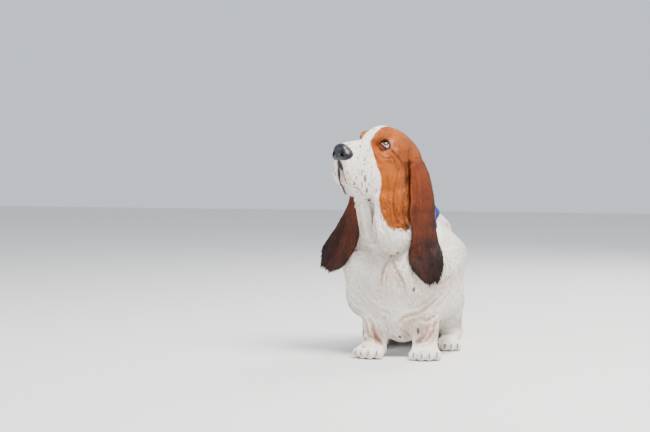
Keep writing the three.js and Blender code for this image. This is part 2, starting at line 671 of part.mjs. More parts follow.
// Collar: a band of webbing laid round the neck, low in front and high behind.
const COLLAR_CENTRE = new THREE.Vector3(-2, -276, 342);
const COLLAR_TILT = 24;
const COLLAR_STATIONS = 28;
const COLLAR_SLACK = 0.8;
const COLLAR_CLEARANCE = 1.5;
const collarFrame = new THREE.Matrix4()
  .makeTranslation(...COLLAR_CENTRE.toArray())
  .multiply(new THREE.Matrix4().makeRotationX(THREE.MathUtils.degToRad(COLLAR_TILT)));
function neckRadius(turn, height) {
  const p = new THREE.Vector3();
  for (let radius = 20; radius < 150; radius += 0.5) {
    p.set(Math.cos(turn) * radius, Math.sin(turn) * radius, height).applyMatrix4(collarFrame);
    if (trunk(p) > COLLAR_SLACK) return radius;
  }
  throw new Error("the collar meets no edge of the neck");
}
function band(by = 0) {
  const positions = [];
  const half = COLLAR_WIDTH / 2;
  for (let n = 0; n < COLLAR_STATIONS; n++) {
    const turn = (2 * Math.PI * n) / COLLAR_STATIONS;
    const slope = (neckRadius(turn, half) - neckRadius(turn, -half)) / COLLAR_WIDTH;
    const offset = by * Math.hypot(1, slope);
    for (const [height, out] of [[-half, 0], [half, 0], [half, 1], [-half, 1]]) {
      const rise = height + Math.sign(height) * by;
      const radius = neckRadius(turn, height) + slope * (rise - height);
      const at = out ? radius + COLLAR_THICKNESS + offset : radius - offset;
      positions.push(Math.cos(turn) * at, Math.sin(turn) * at, rise);
    }
  }
  const triangles = [];
  for (let n = 0; n < COLLAR_STATIONS; n++)
    for (let k = 0; k < 4; k++) {
      const next = (n + 1) % COLLAR_STATIONS;
      const [a, b] = [n * 4 + k, n * 4 + ((k + 1) % 4)];
      const [c, d] = [next * 4 + k, next * 4 + ((k + 1) % 4)];
      if (k < 2) triangles.push(a, c, b, b, c, d);
      else triangles.push(a, c, d, a, d, b); // split as the inner face is
    }
  const geometry = new THREE.BufferGeometry();
  geometry.setAttribute("position", new THREE.BufferAttribute(new Float32Array(positions), 3));
  geometry.setIndex(triangles);
  geometry.applyMatrix4(collarFrame);
  const solid = solidFrom(geometry.attributes.position.array, triangles);
  return solid.volume() < 0 ? solidFrom(geometry.attributes.position.array, flipped(triangles)) : solid;
}

// Head.
let head = share([-260, -560, 330], [130, -170, 620], 11.6, [aboveHeadPlane]);
for (const side of [1, -1]) {
  head = head.add(lidSolid(side));
  head = head.subtract(grown(eyeSolid(side), GAP));
}
head = head.subtract(grown(noseSolid, GAP));
solids.set("head", largest(head));
solids.set("nose", noseSolid);
solids.set("eye_left", eyeSolid(1));
solids.set("eye_right", eyeSolid(-1));

// Neck and trunk.
const collar = band();
let neck = share([-180, -470, 180], [140, -120, 540], 19, [belowHeadPlane, aboveNeckPlane]);
neck = largest(neck.subtract(band(GAP)));
solids.set("neck", neck);
solids.set("collar", collar);
let torso = share([-200, -450, -24], [200, 150, 430], 22, [belowNeckPlane]);
for (const b of Object.values(limbBlocks))
  for (const side of [b, mirrorBlock(b)]) torso = torso.subtract(block(side, GAP));
torso = torso.subtract(block(tailBlock, GAP));
torso = torso.subtract(band(GAP));
solids.set("torso", largest(torso));

// A claw at the end of each toe, curved down towards the floor.
const CLAW = { radius: 3.6, length: 15, sides: 6, droop: 38 };
function clawSolids(paw) {
  const splay = THREE.MathUtils.degToRad(paw.splay);
  return toesOf(paw).map(({ end, radius }) => {
    const geometry = new THREE.ConeGeometry(CLAW.radius, CLAW.length, CLAW.sides);
    geometry.rotateX(Math.PI + THREE.MathUtils.degToRad(90 - CLAW.droop) - Math.PI / 2);
    geometry.rotateZ(splay);
    geometry.translate(
      end[0] + Math.sin(splay) * radius * 0.95,
      end[1] - Math.cos(splay) * radius * 0.95,
      end[2] + radius * 0.1,
    );
    return solidOf(geometry);
  });
}

// Limbs.
const limbCells = { foreleg: 18.5, forepaw: 10.5, hindleg: 21, hindfoot: 12.5 };
const limbPaws = { forepaw: pawSizes.fore, hindfoot: pawSizes.hind };
for (const [name, b] of Object.entries(limbBlocks)) {
  const margin = 16;
  const [low, high] = [b.low.map((v) => v - margin), b.high.map((v) => v + margin)];
  let left = share(low, high, limbCells[name], [b]);
  if (limbPaws[name]) {
    for (const claw of clawSolids(limbPaws[name])) left = left.add(claw);
    left = largest(left.intersect(block(aboveFloor)));
  }
  solids.set(name + "_left", left);
  solids.set(name + "_right", left.mirror([1, 0, 0]));
}
solids.set("tail", share([-130, 80, -24], [60, 340, 130], 14, [tailBlock]));

// Ears, cut clear of what they hang from and lie against.
for (const [name, side] of [["left", 1], ["right", -1]]) {
  let ear = earSolid(ears[name], side);
  for (const other of ["head", "neck", "torso"]) ear = ear.subtract(grown(solids.get(other), GAP));
  ear = ear.subtract(band(COLLAR_CLEARANCE));
  solids.set("ear_" + name, largest(ear));
}

// Model.
const model = new THREE.Group();
for (const [name, solid] of solids) {
  const material = new THREE.MeshStandardMaterial(looks[name] ?? WHITE_COAT);
  const mesh = new THREE.Mesh(geometryOf(solid), material);
  mesh.name = name;
  model.add(mesh);
}

export default model;
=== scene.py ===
import functools
import math

import bpy
import numpy as np
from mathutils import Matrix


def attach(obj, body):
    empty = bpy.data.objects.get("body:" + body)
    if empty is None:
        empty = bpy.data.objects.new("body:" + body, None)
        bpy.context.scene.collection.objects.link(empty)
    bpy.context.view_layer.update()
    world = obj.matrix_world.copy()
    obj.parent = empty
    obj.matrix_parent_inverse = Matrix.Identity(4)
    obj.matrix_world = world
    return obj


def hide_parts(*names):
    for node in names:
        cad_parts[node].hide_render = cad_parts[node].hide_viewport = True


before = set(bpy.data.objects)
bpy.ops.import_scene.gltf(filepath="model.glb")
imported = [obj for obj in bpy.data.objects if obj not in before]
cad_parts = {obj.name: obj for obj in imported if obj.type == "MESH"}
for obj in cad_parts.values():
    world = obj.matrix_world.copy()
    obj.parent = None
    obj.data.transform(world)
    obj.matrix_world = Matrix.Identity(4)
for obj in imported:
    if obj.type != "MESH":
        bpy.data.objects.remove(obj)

import openvdb
from mathutils import Euler, Matrix, Vector

bl_info = {
    "name": "Basset hound",
    "version": (1, 0, 0),
    "blender": (4, 5, 0),
    "location": "View3D > Sidebar > Hound",
    "description": "A life-size sitting basset hound with a webbing collar",
    "category": "Object",
}

MM = 0.001
SIDES = ((1, "left"), (-1, "right"))
FLESH_NODES = ["head", "neck", "torso", "tail"] + [
    limb + side for limb in ("foreleg", "forepaw", "hindleg", "hindfoot") for side in ("_left", "_right")
]

# The head's own axes: forward along the muzzle, to the dog's left, and up.
HEAD_YAW = math.radians(39)
HEAD_PITCH = math.radians(9)
HEAD_CENTRE = np.array([-34.0, -320.0, 507.0])
FORWARD = np.array([
    -math.sin(HEAD_YAW) * math.cos(HEAD_PITCH),
    -math.cos(HEAD_YAW) * math.cos(HEAD_PITCH),
    math.sin(HEAD_PITCH),
])
LEFT = np.array([math.cos(HEAD_YAW), -math.sin(HEAD_YAW), 0.0])
UP = np.cross(FORWARD, LEFT)
HEAD_AXES = np.array([FORWARD, LEFT, UP])

# The camera's plane, and a sketch on it, 2.5 mm to a unit, that the markings and folds are laid out on.
VIEW_AZIMUTH = math.radians(14)
VIEW_ELEVATION = math.radians(3)
TOWARDS_VIEW = np.array([
    math.sin(VIEW_AZIMUTH) * math.cos(VIEW_ELEVATION),
    -math.cos(VIEW_AZIMUTH) * math.cos(VIEW_ELEVATION),
    math.sin(VIEW_ELEVATION),
])
VIEW_RIGHT = np.array([math.cos(VIEW_AZIMUTH), math.sin(VIEW_AZIMUTH), 0.0])
VIEW_UP = np.cross(TOWARDS_VIEW, VIEW_RIGHT)
SKETCH_UNIT = 2.5
SKETCH_ORIGIN = np.array([0.0, -330.0, 0.0])
SKETCH_ZERO = (400.0, 357.0)

HEAD_FORMS = {
    "cranium": dict(at=(-4, 0, 6), radii=(66, 55, 60)),
    "occiput": dict(at=(-50, 0, 6), radii=(25, 24, 26), blend=26),
    "forehead": dict(at=(30, 0, 26), radii=(36, 36, 38), blend=26),
    "brow": dict(at=(50, 34, 36), radii=(18, 14, 13), turned=(0, 0, -12), blend=16, paired=True),
    "bridge": dict(start=(48, 0, 6), end=(134, 0, -13), radii=(28, 21.5), blend=28),
    "muzzle": dict(at=(94, 0, -34), radii=(56, 34, 38), blend=22),
    "flew": dict(at=(108, 21, -58), radii=(40, 19, 43), turned=(0, 14, 4), blend=18, paired=True),
    "flew_rear": dict(at=(74, 34, -78), radii=(34, 15, 42), turned=(0, -14, 6), blend=18, paired=True),
    "temple": dict(at=(-2, 42, -14), radii=(44, 22, 44), blend=26, paired=True),
    "cheek": dict(at=(26, 42, -50), radii=(40, 21, 60), turned=(0, -8, 0), blend=24, paired=True),
    "jaw_skin": dict(start=(14, 48, -66), end=(0, 56, -130), radii=(28, 29), blend=24, paired=True),
    "throat": dict(start=(60, 0, -94), end=(22, -4, -200), radii=(31, 26), blend=22),
    "dewlap": dict(start=(0, 56, -120), end=(-4, 62, -206), radii=(30, 36), blend=16, paired=True),
    "near_lobe": dict(start=(31, 43, -126), end=(20, 48, -194), radii=(24, 29), blend=20),
}

MOUTH_FORMS = {
    "chin": dict(at=(108, 0, -80), radii=(28, 16, 20), blend=6),
    "lower_lip": dict(at=(122, 0, -72), radii=(13, 13, 8), blend=6),
}

BODY_FORMS = {
    "neck_upper": dict(start=(-6, -286, 478), end=(-4, -276, 400), radii=(54, 60), blend=26),
    "neck_lower": dict(start=(-4, -276, 400), end=(0, -282, 308), radii=(63, 82), blend=26),
    "nape": dict(start=(10, -244, 440), end=(15, -206, 352), radii=(35, 49), blend=26),
    "blade": dict(at=(48, -184, 314), radii=(52, 58, 38), turned=(-20, 0, 0), blend=34, paired=True),
    "withers": dict(at=(0, -176, 292), radii=(94, 70, 46), turned=(-38, 0, 0), blend=36),
    "ribs": dict(at=(0, -196, 208), radii=(138, 160, 106), turned=(-36, 0, 0), blend=26),
    "breast": dict(at=(0, -312, 200), radii=(116, 80, 84), turned=(-14, 0, 0), blend=24),
    "brisket": dict(at=(0, -296, 106), radii=(60, 72, 74), blend=34),
    "shoulder": dict(at=(100, -256, 230), radii=(50, 70, 84), turned=(-16, 0, 0), blend=30, paired=True),
    "loose_skin": dict(at=(128, -250, 256), radii=(24, 44, 30), turned=(-14, 0, 0), blend=20, paired=True),
    "upper_arm": dict(start=(106, -312, 232), end=(98, -276, 156), radii=(46, 40), blend=28, paired=True),
    "loin": dict(at=(0, -96, 166), radii=(108, 150, 104), turned=(-36, 0, 0), blend=50),
    "rump": dict(at=(0, -6, 80), radii=(86, 84, 86), blend=40),
    "belly": dict(at=(0, -150, 92), radii=(84, 110, 66), turned=(-14, 0, 0), blend=40),
    "thigh": dict(at=(76, -70, 104), radii=(36, 104, 80), turned=(-16, 0, 4), blend=30, paired=True),
    "knee": dict(start=(86, -120, 118), end=(88, -150, 106), radii=(40, 36), blend=26, paired=True),
    "shank": dict(start=(90, -146, 92), end=(84, -30, 34), radii=(32, 24), blend=20, paired=True),
    "hock": dict(start=(84, -22, 26), end=(90, -124, 22), radii=(24, 23), blend=16, paired=True),
    "foreleg": dict(start=(76, -306, 168), end=(63, -330, 44), radii=(36, 27), blend=24, paired=True),
    "elbow": dict(at=(104, -270, 140), radii=(40, 48, 46), blend=40, paired=True),
    "pastern": dict(start=(63, -330, 62), end=(66, -342, 30), radii=(29, 26), blend=18, paired=True),
}

HEAD_HOLLOWS = {
    "eye_socket": dict(at=(57, 39, 12), radii=(17, 12, 12), blend=10, paired=True),
    "lip_parting": dict(start=(158, 0, -44), end=(120, 0, -112), radii=(3, 13), blend=6),
    "lip_edge": dict(start=(118, 14, -104), end=(66, 32, -128), radii=(7, 7), blend=8, paired=True),
    "mouth_corner": dict(start=(84, 44, -118), end=(68, 49, -122), radii=(6, 5), blend=8, paired=True),
    "near_fold": dict(start=(60, 27, -120), end=(8, 27, -236), radii=(5, 8), blend=10),
    "far_fold": dict(start=(58, -34, -134), end=(28, -26, -216), radii=(7, 9), blend=12),
    "cheek_fold": dict(start=(-22, 66, -26), end=(-24, 84, -150), radii=(6, 8), blend=14, paired=True),
}

BODY_HOLLOWS = {
    "armpit": dict(start=(44, -372, 120), end=(50, -352, 44), radii=(7, 9), blend=16, paired=True),
    "flank": dict(start=(112, -176, 176), end=(92, -196, 70), radii=(10, 16), blend=24, paired=True),
    "chest_fold": dict(start=(0, -404, 268), end=(8, -398, 180), radii=(4, 6), blend=14),
}

NOSE_FORMS = {
    "pad": dict(at=(138, 0, -19), radii=(24, 26, 23)),
    "wing": dict(at=(138, 18, -26), radii=(18, 14, 14), blend=8, paired=True),
    "tip": dict(at=(150, 0, -10), radii=(11, 19, 12), blend=10),
}

NOSTRIL_FORMS = {
    "nostril": dict(start=(168, 10, -17), end=(151, 17, -24), radii=(5.6, 5.0), blend=3, paired=True),
    "slit": dict(start=(156, 19, -27), end=(140, 33, -31), radii=(1.5, 1.3), blend=2, paired=True),
    "groove": dict(start=(165, 0, -17), end=(152, 0, -44), radii=(1.5, 1.2), blend=3),
}

# Paws: a pad of flesh with four toes.
PAWS = [
    dict(at=(67, -352, 0), length=92, width=70, height=44, splay=12),
    dict(at=(93, -164, 0), length=96, width=62, height=38, splay=10),
]
TOES = 4

TAIL_ROUTE = [(0, 62, 76), (-4, 112, 44), (-14, 172, 24), (-32, 228, 17), (-60, 276, 13), (-94, 310, 9)]
TAIL_RADII = [34, 25, 21, 17, 13, 8]

# The ears, from root to tip: the middle of the leaf, the bearing of its front edge in degrees, its width
# in mm and its curl in degrees. Then how dark the root is, what is added over each share of the way down,
# and how strongly the front edge is lightened towards golden, a painted highlight where the edge catches the
# light.
EARS = {
    "left": dict(
        side=1,
        route=[(14, -302, 518), (38, -314, 494), (52, -326, 462), (59, -336, 425), (62, -344, 385),
               (59, -352, 340), (62, -360, 296), (73, -366, 252), (90, -372, 194)],
        front=[-129, -132, -138, -142, -146, -150, -154, -156],
        width=[46, 62, 68, 74, 88, 92, 88, 66],
        curl=[115, 100, 85, 75, 65, 55, 45, 35],
        tones=[0.12, ((0.05, 0.5), 0.34), ((0.45, 1.0), 0.38)],
        edge_highlight=1,
    ),
    "right": dict(
        side=-1,
        route=[(-50, -256, 500), (-78, -264, 478), (-112, -280, 440), (-134, -296, 396),
               (-143, -310, 346), (-151, -324, 298), (-169, -334, 254), (-188, -340, 222)],
        front=[-129, -122, -105, -80, -50, -32, -22, -18],
        width=[44, 56, 70, 84, 98, 106, 102, 76],
        curl=[120, 110, 90, 75, 60, 50, 40, 35],
        tones=[0.22, ((0.0, 0.3), 0.26), ((0.4, 1.0), 0.26)],
        edge_highlight=0.4,
    ),
}

COLLAR_CENTRE = np.array([-2.0, -276.0, 342.0])
COLLAR_TILT = math.radians(24)

EYE_AT = np.array([42.0, 37.0, 14.0])
EYE_OUT = np.array([0.62, 0.76, 0.18]) / np.linalg.norm([0.62, 0.76, 0.18])

# Where the red-brown mask lies on the side of the head, on the sketch.
MASK = [
    (368.6, 141.5), (372.4, 136), (375.6, 131.8), (380.6, 128.4), (386, 127.0), (394, 127.2), (403, 130),
    (410, 136), (417, 143), (440, 150), (440, 226), (409, 228), (403.1, 233.1), (395.2, 232.4),
    (387.2, 226.4), (381.4, 216.4), (378.6, 207), (377.6, 199.1), (379.0, 191.6), (380.0, 183.1),
    (379.4, 176.6), (377.6, 171),
    (375.4, 165.9), (373.6, 159.8), (371.6, 152.7), (369.4, 146.5),
]
# Places in the mask, on the sketch: centre, reach, and how far from golden to dark. The five down the cheek
# beside the ear are painted shade where the cheek meets the ear.
MASK_SHADES = [
    ((407, 166), 6.0, 0.60), ((408, 180), 6.0, 0.75), ((407.5, 196), 6.0, 0.75), ((406.5, 212), 6.0, 0.75),
    ((404.5, 226), 6.0, 0.65), ((399.5, 154), 7.0, 0.45), ((394, 146), 5.0, 0.25), ((384.5, 132), 5.0, 0.30),
    ((371.5, 143), 3.4, 0.45), ((373.5, 156), 3.0, 0.3), ((396.0, 168), 5.5, 0.34), ((398.0, 186), 4.5, 0.30),
    ((415, 150), 9.0, 0.55), ((391.0, 217), 8.0, 0.35), ((387.0, 161), 4.0, 0.22), ((384, 204), 4.0, 0.2),
    ((396, 206), 4.0, 0.25), ((406, 140), 7.0, 0.3),
]
# Paler places round the eye: centre, reach, how pale.
PALE_PLACES = [
    ((375, 138.5), 2.6, 0.3), ((391, 141.5), 2.6, 0.3), ((394.5, 150), 2.0, 0.3), ((383.5, 156.5), 2.6, 0.3),
]
# Dark bare skin at the corners of the eye and of the mouth: centre, reach, how dark.
DARK_PLACES = [((377.6, 145.4), 2.0, 1.0), ((379.4, 148.4), 1.8, 0.9), ((389.6, 150.4), 1.5, 1.0),
               ((391.4, 152.4), 1.1, 0.9), ((368.2, 200.0), 1.7, 1.0), ((365.2, 199.2), 1.1, 0.8)]

# Folds and creases on the sketch: points, half width and depth in mm, pinkness, darkness, and whether the far
# side of the head has the same. The darkness is painted shade in the creases, and along the lips also their
# dark bare skin.
FOLDS = [
    # lips and mouth
    ([(338.6, 162), (340.4, 172), (342.4, 182), (346, 192), (352, 199.6), (360, 203.6), (366, 202.6),
      (369.4, 200)],
     2.2, 2.2, 0.2, 0.75, True),
    ([(342, 170), (344.5, 180), (349, 189), (355, 196), (362, 199)], 3.5, -1.6, 0.1, 0.1, True),
    ([(339.4, 161), (338.4, 169), (339.6, 179), (343, 189), (347.4, 197.6)], 5.2, 1.0, 0.0, 1.0, True),
    ([(342.6, 163), (343.0, 172), (345.6, 182)], 4.0, 0.0, 0.0, 0.45, False),
    ([(366.6, 199.4), (368.6, 200.2), (370.2, 201)], 2.6, 2.0, 0.0, 1.0, True),
    # between the throat and the near lobe
    ([(369.6, 199.5), (372, 210), (373.6, 222), (375, 236), (378.5, 246),
      (381, 251)], 4.0, 4.5, 0.35, 0.15, False),
    ([(357, 203), (358.8, 215), (361, 228), (363, 241)], 4.0, 2.6, 0.3, 0.05, False),
    ([(365, 206), (367, 220), (369.5, 236)], 3.5, 1.6, 0.25, 0.0, False),
    ([(376, 201), (378, 213), (381, 226), (386, 238)], 4.5, 1.8, 0.1, 0.1, False),
    # cheek
    ([(403, 164), (405.4, 178), (404.6, 190), (402, 202), (401.2, 213), (403, 222), (406, 229)],
     3.6, 4.6, 0.0, 1.0, True),
    ([(397.5, 171), (394.8, 182), (392.4, 192), (391.4, 204), (392.6, 214),
      (396.4, 223)], 2.8, 3.2, 0.0, 0.7, True),
    ([(400.6, 184), (398.2, 196), (396.8, 207), (398.4, 217)], 3.2, -2.6, 0.0, 0.0, True),
    ([(386, 178), (386.6, 190), (386, 203)], 4.0, 1.2, 0.0, 0.25, True),
    ([(408, 152), (407.6, 164), (408.6, 178), (409.4, 190)], 4.0, 3.4, 0.0, 0.9, True),
    # round the eye and over the brow
    ([(373.5, 149), (378, 155.5), (385, 159.5), (391.5, 159)], 2.4, 1.8, 0.0, 0.35, True),
    ([(372, 155), (377, 163), (383, 168)], 3.0, 1.1, 0.0, 0.2, True),
    ([(376.5, 140), (380, 135.5), (385.5, 134.5), (391, 138), (395, 145)], 2.6, 2.2, 0.0, 0.4, True),
    ([(378, 135), (383, 131), (389.5, 131.5), (394.5, 136)], 3.0, -1.8, 0.0, 0.0, True),
    ([(389.5, 152.5), (394, 156), (398.5, 161), (402, 168)], 2.3, 2.2, 0.0, 0.95, True),
    ([(389, 156.5), (393, 163), (396, 171)], 2.4, 1.6, 0.0, 0.4, True),
    # chest
    ([(389.9, 256), (386.9, 261.7), (382.5, 268.3), (380, 279.3),
      (377, 285.2)], 3.2, 3.2, 0.75, 0.42, False),
    ([(390.6, 256), (394.2, 266.9), (400.1, 277.1), (403.8, 289.6)], 3.2, 3.2, 0.75, 0.35, False),
    ([(385.4, 270), (384.8, 281)], 2.6, 1.8, 0.5, 0.25, False),
    ([(381, 251.5), (390.6, 255.5), (404.5, 252.2)], 4.0, 3.0, 0.6, 0.25, False),
    ([(352, 249), (362, 248), (372, 251)], 4.0, 2.4, 0.4, 0.1, False),
    ([(426.5, 282.2), (437.5, 282.7), (444.1, 279.3), (450, 275.7)], 4.4, 3.8, 0.55, 0.15, False),
    ([(412, 258), (411.5, 270), (415, 283), (423, 292)], 6.0, 2.4, 0.3, 0.05, False),
    ([(437.5, 291), (426.5, 299.8), (417, 306.5)], 4.5, 3.6, 0.5, 0.15, False),
    ([(440.4, 293.2), (428, 305), (417.7, 312.3), (403.8, 316), (400.1, 321.1)], 4.0, 3.6, 0.6, 0.2, False),
    ([(358.3, 288.9), (364.2, 296.9), (370.8, 304.2), (378.1, 309.4),
      (386.9, 312.3)], 5.0, 3.2, 0.25, 0.05, False),
    ([(349.5, 296.9), (356.1, 305), (362, 306.5)], 5.0, 2.6, 0.25, 0.05, False),
    ([(347, 262), (352, 258), (362, 255)], 5.0, 2.4, 0.3, 0.05, False),
    # forelegs
    ([(369.3, 319.6), (373, 327), (373.7, 332.8), (378.1, 340.2), (384, 346.8)], 4.0, 5.0, 0.9, 0.55, False),
    ([(365, 331.4), (370.8, 336.5), (376.7, 339.4)], 3.0, 2.6, 0.8, 0.3, False),
    ([(362, 318), (366.5, 326), (368, 336)], 4.0, 2.6, 0.6, 0.15, False),
    ([(400.9, 328.4), (406, 332.8), (409.6, 336.5)], 3.4, 3.0, 0.8, 0.35, False),
    ([(425, 325.5), (425, 330.7), (420.6, 338), (414, 343.8)], 3.6, 4.6, 0.9, 0.6, False),
    ([(433.1, 316), (433.8, 327), (428, 336.5), (420.6, 340.9)], 3.6, 3.6, 0.85, 0.3, False),
    ([(421.4, 317.4), (424.3, 319.6), (431.6, 316.7), (434.6, 313)], 4.5, 4.4, 0.7, 0.25, False),
]
# Pink skin showing through, on the sketch, on the front of the body: centre, reach, how pink.
PINK_PLACES = [
    ((391, 275), 10, 0.35), ((372, 334), 8, 0.55), ((384, 336), 8, 0.35), ((412, 326), 9, 0.5),
    ((427, 328), 8, 0.6), ((404, 320), 8, 0.3), ((344, 178), 5, 0.45), ((363, 225), 6, 0.3),
    ((395, 255), 8, 0.3), ((442, 283), 10, 0.2),
]


def length(name, description, default):
    return bpy.props.FloatProperty(name=name, description=description, default=default, unit="LENGTH")


def amount(name, description, default):
    return bpy.props.IntProperty(name=name, description=description, default=default)


class HoundSizes(bpy.types.PropertyGroup):
    """Sizes that a user would change"""

    coat_depth: length("Coat depth", "How deep the skin lies under the tips of the coat", 0.0017)
    body_tufts: amount("Tufts of coat", "On the head and body", 66000)
    ear_tufts: amount("Tufts on each ear", "On both faces", 9500)
    eye_radius: length("Eye radius", "Of the eyeball", 0.012)
    ear_thickness: length("Ear thickness", "Of the leaf of skin, without its coat", 0.0032)
    collar_width: length("Collar width", "Of the webbing", 0.028)
    collar_thickness: length("Collar thickness", "Of the webbing", 0.0035)
    whisker_length: length("Whisker length", "Of the longest whisker", 0.052)


def colour(name, description, default):
    return bpy.props.FloatVectorProperty(
        name=name, description=description, default=default, size=3, min=0, max=1, subtype="COLOR")


class HoundColours(bpy.types.PropertyGroup):
    """Colours that a user would change, in linear light"""

    white: colour("White", "Of the white coat", (0.86, 0.80, 0.725))
    golden: colour("Golden", "Of the mask, where it is palest", (0.38, 0.090, 0.009))
    red_brown: colour("Red-brown", "Of the mask, where it is darkest", (0.060, 0.013, 0.005))
    ear_top: colour("Ear, top", "Of the ears at their root", (0.210, 0.040, 0.008))
    ear_tip: colour("Ear, tip", "Of the ears at their tip", (0.017, 0.006, 0.005))
    pink: colour("Pink", "Of the skin in the folds", (0.54, 0.355, 0.275))
    pale: colour("Pale", "Of the thin coat round the eyes", (0.60, 0.34, 0.235))
    # Dark is also painted into the creases of the folds as shade.
    dark: colour("Dark", "Of the bare skin of lips and lids", (0.020, 0.011, 0.019))
    ticks: colour("Ticks", "Of the specks in the white", (0.10, 0.075, 0.072))
    muzzle_ticks: colour("Muzzle ticks", "Of the specks on the muzzle", (0.36, 0.19, 0.125))
    nose: colour("Nose", "Of the nose leather", (0.006, 0.007, 0.010))
    iris: colour("Iris", "Of the iris", (0.055, 0.018, 0.008))
    iris_rim: colour("Rim of the iris", "Where it meets the white of the eye", (0.006, 0.004, 0.004))
    pupil: colour("Pupil", "Of the pupil", (0.003, 0.002, 0.002))
    eye_white: colour("White of the eye", "Where it is palest", (0.46, 0.31, 0.32))
    haw: colour("Haw", "Of the loose lower lid's lining", (0.46, 0.19, 0.21))
    whisker: colour("Whisker", "Of the whiskers", (0.8, 0.78, 0.74))
    webbing: colour("Webbing", "Of the collar", (0.006, 0.020, 0.13))
    lining: colour("Lining", "Of the collar's dark strip", (0.012, 0.012, 0.014))
    metal: colour("Metal", "Of the collar's slide and ring", (0.70, 0.70, 0.72))
    claw: colour("Claw", "Of the claws", (0.19, 0.15, 0.12))
    floor: colour("Floor", "Of the studio's floor", (0.74, 0.735, 0.72))
    sky: colour("Surroundings", "Of the studio's soft light from all round", (0.86, 0.92, 1.0))


def sizes():
    return bpy.context.scene.hound_sizes


def colours():
    return bpy.context.scene.hound_colours


def to_head(points):
    return (points - HEAD_CENTRE) @ HEAD_AXES.T


def from_head(points):
    return points @ HEAD_AXES + HEAD_CENTRE


def sketch(points):
    """Where points of the row frame, in mm, lie on the sketch."""
    from_origin = points - SKETCH_ORIGIN
    across = SKETCH_ZERO[0] + from_origin @ VIEW_RIGHT / SKETCH_UNIT
    down = SKETCH_ZERO[1] - from_origin @ VIEW_UP / SKETCH_UNIT
    return np.stack([across, down], axis=1)


def unit(vectors):
    return vectors / np.maximum(np.linalg.norm(vectors, axis=-1, keepdims=True), 1e-9)


def smoothstep(low, high, values):
    share = np.clip((values - low) / (high - low), 0, 1)
    return share * share * (3 - 2 * share)


REACH_KEPT = 36.0  # mm from a form past its blend, out to which distances are kept true


class Form:
    """A ball (at, radii, turned) or a limb (start, end, radii), blended into what comes before it."""

    def __init__(self, radii, at=None, start=None, end=None, turned=(0, 0, 0), blend=24, paired=False):
        self.centre = np.array(at if at is not None else start, float)
        self.along = None if end is None else np.array(end, float) - self.centre
        self.radii = np.array(radii, float)
        self.axes = np.array(Euler([math.radians(a) for a in turned], "XYZ").to_matrix())
        self.blend = blend
        self.paired = paired
        self.middle = self.centre if end is None else self.centre + self.along / 2
        self.reach = self.radii.max() + (0 if end is None else np.linalg.norm(self.along) / 2)

    def distance(self, points):
        from_centre = points - self.centre
        if self.along is None:
            turned = from_centre @ self.axes / self.radii
            near = np.sqrt(np.einsum("ij,ij->i", turned, turned))
            turned /= self.radii
            far = np.sqrt(np.einsum("ij,ij->i", turned, turned))
            return near * (near - 1) / np.maximum(far, 1e-9)
        share = np.clip(from_centre @ self.along / (self.along @ self.along), 0, 1)
        from_centre -= share[:, None] * self.along
        reach = np.sqrt(np.einsum("ij,ij->i", from_centre, from_centre))
        return reach - (self.radii[0] + (self.radii[1] - self.radii[0]) * share)


def forms_of(table):
    return [Form(**form) for form in table.values()]


def smooth_union(a, b, width):
    h = np.maximum(width - np.abs(a - b), 0) / width
    return np.minimum(a, b) - h * h * width / 4


def in_paw(paw, along, across, up):
    splay = math.radians(paw["splay"])
    x, y, _ = paw["at"]
    return (x + math.sin(splay) * along + math.cos(splay) * across,
            y - math.cos(splay) * along + math.sin(splay) * across, up)


def toes_of(paw):
    toes = []
    for toe in range(TOES):
        across = (toe - (TOES - 1) / 2) * paw["width"] * 0.25
        reach = paw["length"] * (0.36 if abs(toe - 1.5) < 1 else 0.26)
        start = in_paw(paw, paw["length"] * 0.05, across * 0.8, paw["height"] * 0.5)
        end = in_paw(paw, reach, across * 1.08, paw["height"] * 0.3)
        toes.append((start, end, paw["height"] * 0.32))
    return toes


def paw_forms(paw):
    middle = in_paw(paw, -paw["length"] * 0.08, 0, paw["height"] * 0.42)
    radii = (paw["width"] * 0.46, paw["length"] * 0.42, paw["height"] * 0.56)
    made = [Form(radii, at=middle, turned=(0, 0, paw["splay"]), blend=16, paired=True)]
    for start, end, radius in toes_of(paw):
        made.append(Form((radius * 0.94, radius), start=start, end=end, blend=5, paired=True))
    return made


def tail_forms():
    stretches = zip(TAIL_ROUTE, TAIL_ROUTE[1:], TAIL_RADII, TAIL_RADII[1:])
    return [Form((thick, thin), start=start, end=end, blend=8 if n else 24)
            for n, (start, end, thick, thin) in enumerate(stretches)]


BODY = forms_of(BODY_FORMS) + paw_forms(PAWS[0]) + paw_forms(PAWS[1]) + tail_forms()
HEAD = forms_of(HEAD_FORMS)
MOUTH = forms_of(MOUTH_FORMS)
HEAD_CUTS = forms_of(HEAD_HOLLOWS)
BODY_CUTS = forms_of(BODY_HOLLOWS)
NOSE = forms_of(NOSE_FORMS)
NOSTRILS = forms_of(NOSTRIL_FORMS)


def gather(distance, points, folded, forms, carve=False):
    """Blends forms into a distance, past those too far from all the points to count."""
    boxes = [(p.min(axis=0), p.max(axis=0)) for p in (points, folded)]
    for form in forms:
        low, high = boxes[form.paired]
        apart = np.linalg.norm(form.middle - np.clip(form.middle, low, high))
        if apart > form.reach + form.blend + REACH_KEPT:
            continue
        own = form.distance(folded if form.paired else points)
        if carve:
            distance = -smooth_union(-distance, own, form.blend)
        else:
            distance = smooth_union(distance, own, form.blend)
    return distance


def far_off(points):
    return np.full(len(points), 1e4)


def folded(points, axis):
    mirrored = points.copy()
    mirrored[:, axis] = np.abs(mirrored[:, axis])
    return mirrored


def trunk(points):
    return gather(far_off(points), points, folded(points, 0), BODY)


